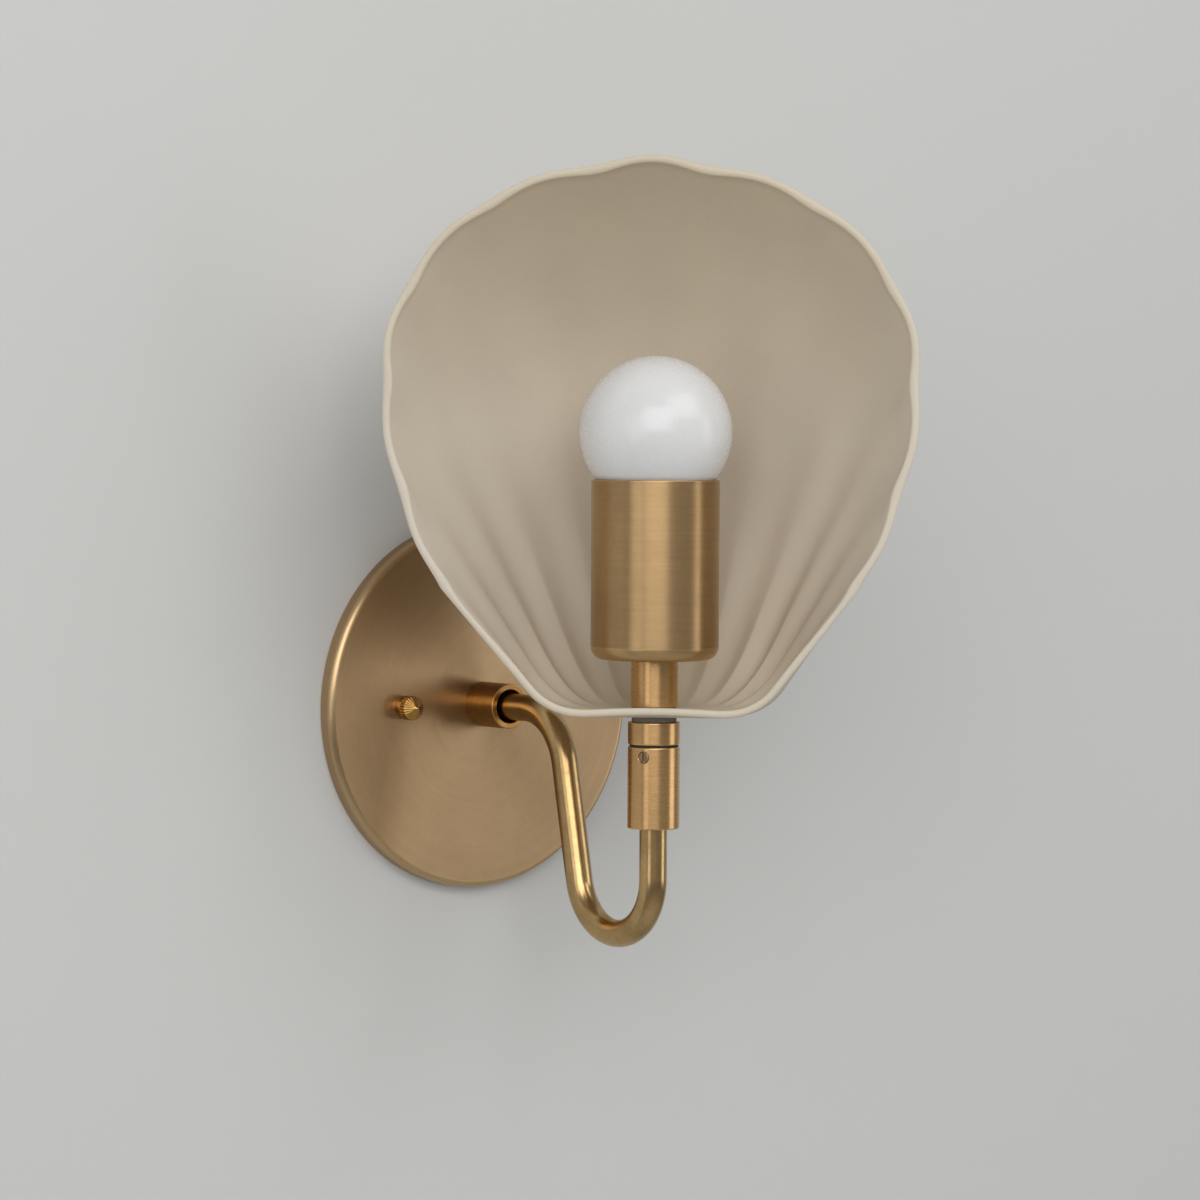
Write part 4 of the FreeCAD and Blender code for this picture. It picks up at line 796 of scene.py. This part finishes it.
def make_bulb():
    """The globe: a ball of 26.2 mm radius that runs into a straight neck, in a wall 0.9 mm thick."""
    globe_radius, neck_radius, neck_end, top, wall = 26.2, 12.3, 22.2, 80.0, 0.9
    centre, blend = top - globe_radius, 3.0

    def profile(shrink):
        radius, neck = globe_radius - shrink, neck_radius - shrink
        meet = -math.acos(neck / radius)
        t = np.linspace(math.pi / 2, meet + 0.10, 90)
        ball = np.stack([radius * np.cos(t), centre + radius * np.sin(t)], 1)
        ball[0, 0] = 0.0
        last = ball[-1]
        foot = np.array([neck, last[1] - blend])
        s = np.linspace(0, 1, 9)[1:, None]
        curve = (1 - s) ** 2 * last + 2 * s * (1 - s) * np.array([neck, last[1] - 0.3]) + s ** 2 * foot
        down = np.stack([np.full(8, neck), np.linspace(foot[1], neck_end, 9)[1:]], 1)
        return np.vstack([ball, curve, down])

    outer, inner = profile(0.0), profile(wall)
    rows = np.vstack([outer, inner[::-1]])
    grid = on_axis(turned_grid(rows, even_angles(144)), BULB_BASE)
    piece = merge_poles(grid_piece("bulb_globe_opal", grid))
    dress(piece, "opal_glass", "bulb", "opal_glass", "bulb_globe")


# ------------------------------------------------------------------ scallop-shell glass

# A point of the smooth skin is named by `fan`, -1 at the left side of the rim through 0 at the back to
# +1 at the right side, and `climb`, 0 at the floor to 1 at the rim. Creases lie at odd multiples of
# 1 / FLUTES. Millimetres, from the underside of the glass at the stem, X across, -Y to the open front.
FLUTES = 11
CREASES = np.array([(19.0, 187.2), (55.2, 175.2), (82.5, 147.2), (90.6, 113.6), (85.1, 76.6), (70.8, 43.9)])
CROWN = 189.6
RIM_FORWARD = 15.0
RIM_ASIDE = 1.6
FLOOR_RADIUS = 21.0
CORNER_RADIUS = 14.1
GLASS_THICK = 2.7
FLOOR_THICK = 2.6
FOOT_SHARE = 0.34
HOLE_RADIUS = 5.4
LIP_LIFT = 1.2
BACK_BOW = 43.0
FLUTE_DEPTH = 3.0
FLUTE_DEPTH_AT_RIM = 1.1


def smooth_step(value):
    """The value held between 0 and 1, as three times its square less twice its cube."""
    value = np.clip(value, 0, 1)
    return value * value * (3 - 2 * value)


def natural_spline(knots, values, at):
    """A cubic through the given values whose second derivative is zero at both ends."""
    n = len(knots)
    h = np.diff(knots)
    a = np.zeros((n, n))
    b = np.zeros((n, values.shape[1]))
    a[0, 0] = a[-1, -1] = 1.0
    for k in range(1, n - 1):
        a[k, k - 1:k + 2] = h[k - 1], 2 * (h[k - 1] + h[k]), h[k]
        b[k] = 6 * ((values[k + 1] - values[k]) / h[k] - (values[k] - values[k - 1]) / h[k - 1])
    m = np.linalg.solve(a, b)
    k = np.clip(np.searchsorted(knots, at) - 1, 0, n - 2)
    t, s = (at - knots[k])[..., None], (knots[k + 1] - at)[..., None]
    step = h[k][..., None]
    return ((m[k] * s ** 3 + m[k + 1] * t ** 3) / (6 * step) + (values[k] / step - m[k] * step / 6) * s
            + (values[k + 1] / step - m[k + 1] * step / 6) * t)


def rim_point(fan):
    """The rim as a smooth curve through its crown and creases, in a plane in front of the stem."""
    at = np.append(np.arange(1, FLUTES, 2) / FLUTES, 1.0)
    knots = np.concatenate([-at[::-1], [0.0], at])
    flat = natural_spline(knots, np.vstack([CREASES[::-1] * [-1, 1], [[0, CROWN]], CREASES]), fan)
    return np.stack([flat[..., 0] - RIM_ASIDE, np.full(fan.shape, -RIM_FORWARD), flat[..., 1]], -1)


def smooth_skin(fan, climb):
    """The unfluted outside: a rounded foot, then a line to the rim that bows backwards by up to 43 mm."""
    last = (FLUTES - 1) / FLUTES
    quarter = np.clip(fan / last, -1, 1) * math.pi / 2
    forward = np.maximum(0, np.abs(fan) - last) * FLUTES * RIM_FORWARD
    direction = np.stack([np.sin(quarter), np.cos(quarter), np.zeros_like(fan)], -1)
    inner = direction * FLOOR_RADIUS
    inner[..., 1] -= forward
    outer = inner + direction * CORNER_RADIUS
    share = FOOT_SHARE / (2 - FOOT_SHARE)
    low = climb < FOOT_SHARE
    straight = share + 2 * share / FOOT_SHARE * (climb - FOOT_SHARE)
    rise = np.where(low, share * (climb / FOOT_SHARE) ** 2, straight)
    foot = np.where(low, (1 - climb / FOOT_SHARE) ** 2, 0.0)
    point = outer + (rim_point(fan) - outer) * rise[..., None] + (inner - outer) * foot[..., None]
    point[..., 1] += BACK_BOW * (1 - fan ** 2) * (1 - np.abs(2 * rise - 1) ** 2.4)
    return point


def outward(fan, climb):
    """Unit normal out of the glass; at the rim and its sides it turns into the rim's own plane."""
    near_rim = np.maximum(climb ** 6, np.abs(fan) ** 16)
    f, c = np.clip(fan, -0.97, 0.97), np.clip(climb, 1e-3, 0.97)
    step = 1e-3
    along = smooth_skin(f + step, c) - smooth_skin(f - step, c)
    up = smooth_skin(f, c + step) - smooth_skin(f, c - step)
    normal = np.cross(up, along)
    normal /= np.linalg.norm(normal, axis=-1, keepdims=True)
    normal[..., 1] *= 1 - near_rim
    return normal / np.linalg.norm(normal, axis=-1, keepdims=True)


def crease_distance(fan):
    """0 in the middle of a flute, 1 at a crease."""
    return np.abs((fan * FLUTES + 1) % 2 - 1)


def glass_skin(fan, climb, inside):
    """The smooth skin moved out along its normal by the flutes, whose height follows a cosine from
    crease to crease, rises out of the floor and fades from 3 mm to 1.1 mm at the rim. Inside, the wall's
    thickness comes off, the relief is soft in the upper half, and each crease swells into a short ridge
    just under the rim."""
    s = 1 - crease_distance(fan)
    depth = smooth_step(climb / 0.3) * (FLUTE_DEPTH - (FLUTE_DEPTH - FLUTE_DEPTH_AT_RIM) * climb)
    wave = (1 - np.cos(math.pi * s)) / 2
    move = wave * depth
    if inside:
        trough = 1 - (1 - s) ** 2.6
        low = 1 - smooth_step((climb - 0.15) / 0.5)
        wave = wave + (trough - wave) * 0.4 * low
        soft = 1 - 0.5 * smooth_step((climb - 0.48) / 0.36) * (1 - smooth_step((climb - 0.93) / 0.07))
        level = depth * 0.62
        near_rim = smooth_step((climb - 0.86) / 0.14)
        ridge = np.exp(-(s / 0.36) ** 2) * 0.6 * near_rim
        move = level + (wave * depth - level) * soft - ridge
        move = move - (FLOOR_THICK + (GLASS_THICK - FLOOR_THICK) * climb)
    point = smooth_skin(fan, climb) + outward(fan, climb) * move[..., None]
    if inside:
        at_floor = (1 - smooth_step(climb / 0.04))[..., None]
        lifted = smooth_skin(fan, climb) + np.array([0, 0, FLOOR_THICK])
        point = point * (1 - at_floor) + lifted * at_floor
    return point


def curl_lip(points):
    """The front of the floor curls up into a low lip, highest in the middle."""
    x, y, z = points[..., 0], points[..., 1], points[..., 2]
    lift = LIP_LIFT * smooth_step((-8.0 - y) / 7.0) * np.clip(1 - (x / 31.0) ** 2, 0, 1) ** 1.5
    out = points.copy()
    out[..., 2] += lift * np.clip((10 - z) / 5, 0, 1)
    return out


def closed_piece(name, sheets):
    """One closed mesh from several grids whose borders meet. Each sheet is a grid of points, whether its
    columns close on themselves, and the edge mark of its rows. Normals are turned outwards."""
    points, faces, marks, start = [], [], [], 0
    for grid, close_columns, mark in sheets:
        rows, columns = grid.shape[:2]
        faces.append(start + grid_faces(rows, columns, close_columns=close_columns)[2])
        points.append(grid.reshape(-1, 3))
        marks.append(np.repeat(mark, columns))
        start += rows * columns
    points, faces, marks = np.vstack(points), np.vstack(faces), np.concatenate(marks)
    mesh = bpy.data.meshes.new(name)
    mesh.from_pydata((points * MM).tolist(), [], faces.tolist())
    mark_edges(mesh, marks)
    work = bmesh.new()
    work.from_mesh(mesh)
    bmesh.ops.remove_doubles(work, verts=work.verts, dist=4e-6)
    bmesh.ops.recalc_face_normals(work, faces=work.faces)
    work.to_mesh(mesh)
    open_edges = sum(1 for item in work.edges if len(item.link_faces) != 2)
    work.free()
    if open_edges:
        raise RuntimeError(f"{name}: {open_edges} open edges")
    return smooth_object(name, mesh)


def make_shell():
    """The glass: outside and inside skins over a fan of flutes, a floor between them with a hole for the
    nipple, and a half-round edge along the rim, down both sides and across the lip."""
    fan = np.linspace(-1, 1, FLUTES * 24 + 1)
    climb = np.concatenate([np.linspace(0, FOOT_SHARE, 31)[:-1], np.linspace(FOOT_SHARE, 0.88, 34)[:-1],
                            np.linspace(0.88, 1, 17)])
    f, c = np.meshgrid(fan, climb)
    skins = [glass_skin(f, c, inside) for inside in (False, True)]
    across = np.linspace(1, -1, 73)[1:-1] * FLOOR_RADIUS
    fronts = [np.stack([across, np.full_like(across, -RIM_FORWARD), np.full_like(across, height)], 1)
              for height in (0.0, FLOOR_THICK)]
    loops, floors, floor_rows = [], [], 19
    for skin, front in zip(skins, fronts):
        right, left = skin[::-1, -1], skin[:, 0]
        loops.append(np.vstack([skin[-1], right[1:], front, left[:-1]]))
        border = np.vstack([skin[0], front])
        angle = np.arctan2(border[:, 1], border[:, 0])
        hole = np.stack([HOLE_RADIUS * np.cos(angle), HOLE_RADIUS * np.sin(angle), border[:, 2]], 1)
        share = np.linspace(0, 1, floor_rows)[:, None, None]
        floors.append(hole + (border - hole) * share)
    outer, inner = loops
    middle, half = (outer + inner) / 2, (outer - inner) / 2
    thick = np.minimum(np.linalg.norm(half, axis=-1, keepdims=True), GLASS_THICK / 2)
    turn = np.linspace(0, math.pi, 11)
    swing = turn[:, None, None]
    edge = middle + np.cos(swing) * half + np.sin(swing) * 0.75 * thick * np.array([0, -1.0, 0])
    sheets = [(curl_lip(skin), False, np.zeros(len(climb))) for skin in skins]
    # This mark, strongest on the edge's forward face, is what the glass lightens as a painted highlight.
    sheets += [(curl_lip(edge), True, np.sin(turn) ** 0.5)]
    sheets += [(curl_lip(floor), True, np.zeros(floor_rows)) for floor in floors]
    sheets += [(np.stack([floors[0][0], floors[1][0]]), True, np.zeros(2))]
    sheets = [(on_axis(grid, GLASS_BASE, SHADE_TURN), closes, mark) for grid, closes, mark in sheets]
    piece = closed_piece("shell_shade_glass", sheets)
    dress(piece, "frosted_glass", "shade_side", "frosted_glass", "shell_shade")


# ------------------------------------------------------------------ build the pieces

make_canopy()
make_collar()
make_knurled_nuts()
make_studs()
make_arm()
make_swivel_body()
make_set_screw()
make_rings()
make_nipple()
make_bulb_base()
make_bulb()
make_shell()

NODE_FINISH = {
    "crossbar": "zinc_steel", "stud_nut_left": "zinc_steel", "stud_nut_right": "zinc_steel",
    "ground_screw": "green_screw", "arm_lock_washer": "zinc_steel", "arm_lock_nut": "zinc_steel",
    "cup_nut": "zinc_steel", "socket_bracket": "zinc_steel", "socket_body": "porcelain",
    "socket_screw_shell": "thread_brass", "socket_contact": "thread_brass",
    "terminal_screw_left": "thread_brass", "terminal_screw_right": "thread_brass",
    "bulb_insulator": "black_glass", "bulb_tip": "solder", "bulb_inner_stem": "clear_glass",
    "bulb_filament": "filament_yellow",
}
for node, finish in NODE_FINISH.items():
    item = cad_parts[node]
    for place in item.material_slots:
        place.material = FINISH[finish]


# ------------------------------------------------------------------ stage, lights and camera

def make_stage():
    """A pale wall that can be seen from its front only, with a round hole where the wall box is, and a
    pale floor far below."""
    material = bpy.data.materials.new("pale_wall")
    material.use_nodes = True
    w = Wiring(material.node_tree)
    shader = material.node_tree.nodes["Principled BSDF"]
    shader.inputs["Roughness"].default_value = 0.9
    shader.inputs["Base Color"].default_value = linear(203, 203, 201)
    clear = w.node("ShaderNodeBsdfTransparent")
    facing = w.node("ShaderNodeNewGeometry").outputs["Backfacing"]
    blend = w.node("ShaderNodeMixShader")
    w.put(blend.inputs[0], facing)
    w.put(blend.inputs[1], shader.outputs[0])
    w.put(blend.inputs[2], clear.outputs[0])
    w.put(material.node_tree.nodes["Material Output"].inputs["Surface"], blend.outputs[0])
    hole, far, below, columns = 0.06, 5.0, -1.4, 72
    angle = even_angles(columns)
    rings = [np.stack([radius * np.cos(angle), np.full(columns, 0.0004), radius * np.sin(angle)], 1)
             for radius in (hole, far)]
    j = np.arange(columns)
    j2 = (j + 1) % columns
    wall = np.vstack(rings), np.stack([columns + j, columns + j2, j2, j], 1)
    floor = np.array([(-far, 0, below), (-far, -2 * far, below), (far, -2 * far, below), (far, 0, below)])
    for name, points, faces in (("wall", *wall), ("floor", floor, np.array([[0, 1, 2, 3]]))):
        mesh = bpy.data.meshes.new(name)
        mesh.from_pydata(points.tolist(), [], faces.tolist())
        mesh.materials.append(material)
        link(name, mesh)


def area_light(name, place, width, height, watts, target=(0, -0.09, 0.07)):
    """A rectangular lamp at a place, turned to face its target. Metres and watts."""
    data = bpy.data.lights.new(name, "AREA")
    data.shape = "RECTANGLE"
    data.size, data.size_y = width, height
    data.energy = watts
    item = link(name, data)
    item.location = place
    item.rotation_euler = (Vector(target) - Vector(place)).to_track_quat("-Z", "Y").to_euler()


def make_lights():
    """A large soft key from above on the right, a softer light beside the camera that reaches into the
    bowl, weak fills from both sides, and one behind the wall that lights the canopy's inside."""
    area_light("key", (0.35, -1.9, 1.5), 1.9, 1.4, 18.0)
    area_light("front", (-1.25, -1.75, 0.85), 1.7, 1.4, 23.0)
    area_light("fill_left", (-2.2, -0.8, 0.3), 0.9, 1.4, 5.0)
    area_light("fill_right", (1.9, -1.7, 0.2), 1.1, 1.4, 7.5)
    area_light("behind", (0.5, 1.4, 0.4), 1.0, 1.0, 9.0, (0, 0, 0))
    world = bpy.data.worlds.new("studio")
    bpy.context.scene.world = world
    world.use_nodes = True
    w = Wiring(world.node_tree)
    back = world.node_tree.nodes["Background"]
    path = w.node("ShaderNodeLightPath")
    seen = w.math("MAXIMUM", path.outputs["Is Camera Ray"], path.outputs["Is Transmission Ray"])
    shiny = w.math("MULTIPLY", path.outputs["Is Glossy Ray"], 0.24)
    w.put(back.inputs["Color"], (0.86, 0.86, 0.86, 1))
    w.put(back.inputs["Strength"], w.math("MAXIMUM", w.math("MAXIMUM", seen, shiny), 0.35))


def make_camera():
    """At the photograph's place: 1.3 m from the swivel axis, looking level across the shade and pitched
    down a little, with a slight roll. The field of view is 17.9 degrees."""
    data = bpy.data.cameras.new("camera")
    data.sensor_width, data.lens = 36.0, 114.0
    data.shift_x, data.shift_y = -1.3 / IMAGE_SIZE, 1.0 / IMAGE_SIZE
    item = link("camera", data)
    pitch, roll, azimuth = math.radians(2.32), math.radians(0.35), math.radians(38.4)
    level = np.array([math.sin(azimuth), math.cos(azimuth), 0])
    right = np.array([math.cos(azimuth), -math.sin(azimuth), 0])
    forward = level * math.cos(pitch) - np.array([0, 0, math.sin(pitch)])
    up = np.cross(right, forward)
    rolled_up = up * math.cos(roll) - right * math.sin(roll)
    rolled_right = right * math.cos(roll) + up * math.sin(roll)
    turn = Matrix(np.stack([rolled_right, rolled_up, -forward], 1).tolist())
    place = (-0.8225, -1.1132, 0.0935)
    item.matrix_world = Matrix.Translation(place) @ turn.to_4x4()
    bpy.context.scene.camera = item


make_stage()
make_lights()
make_camera()
bpy.context.scene.view_settings.view_transform = "Standard"
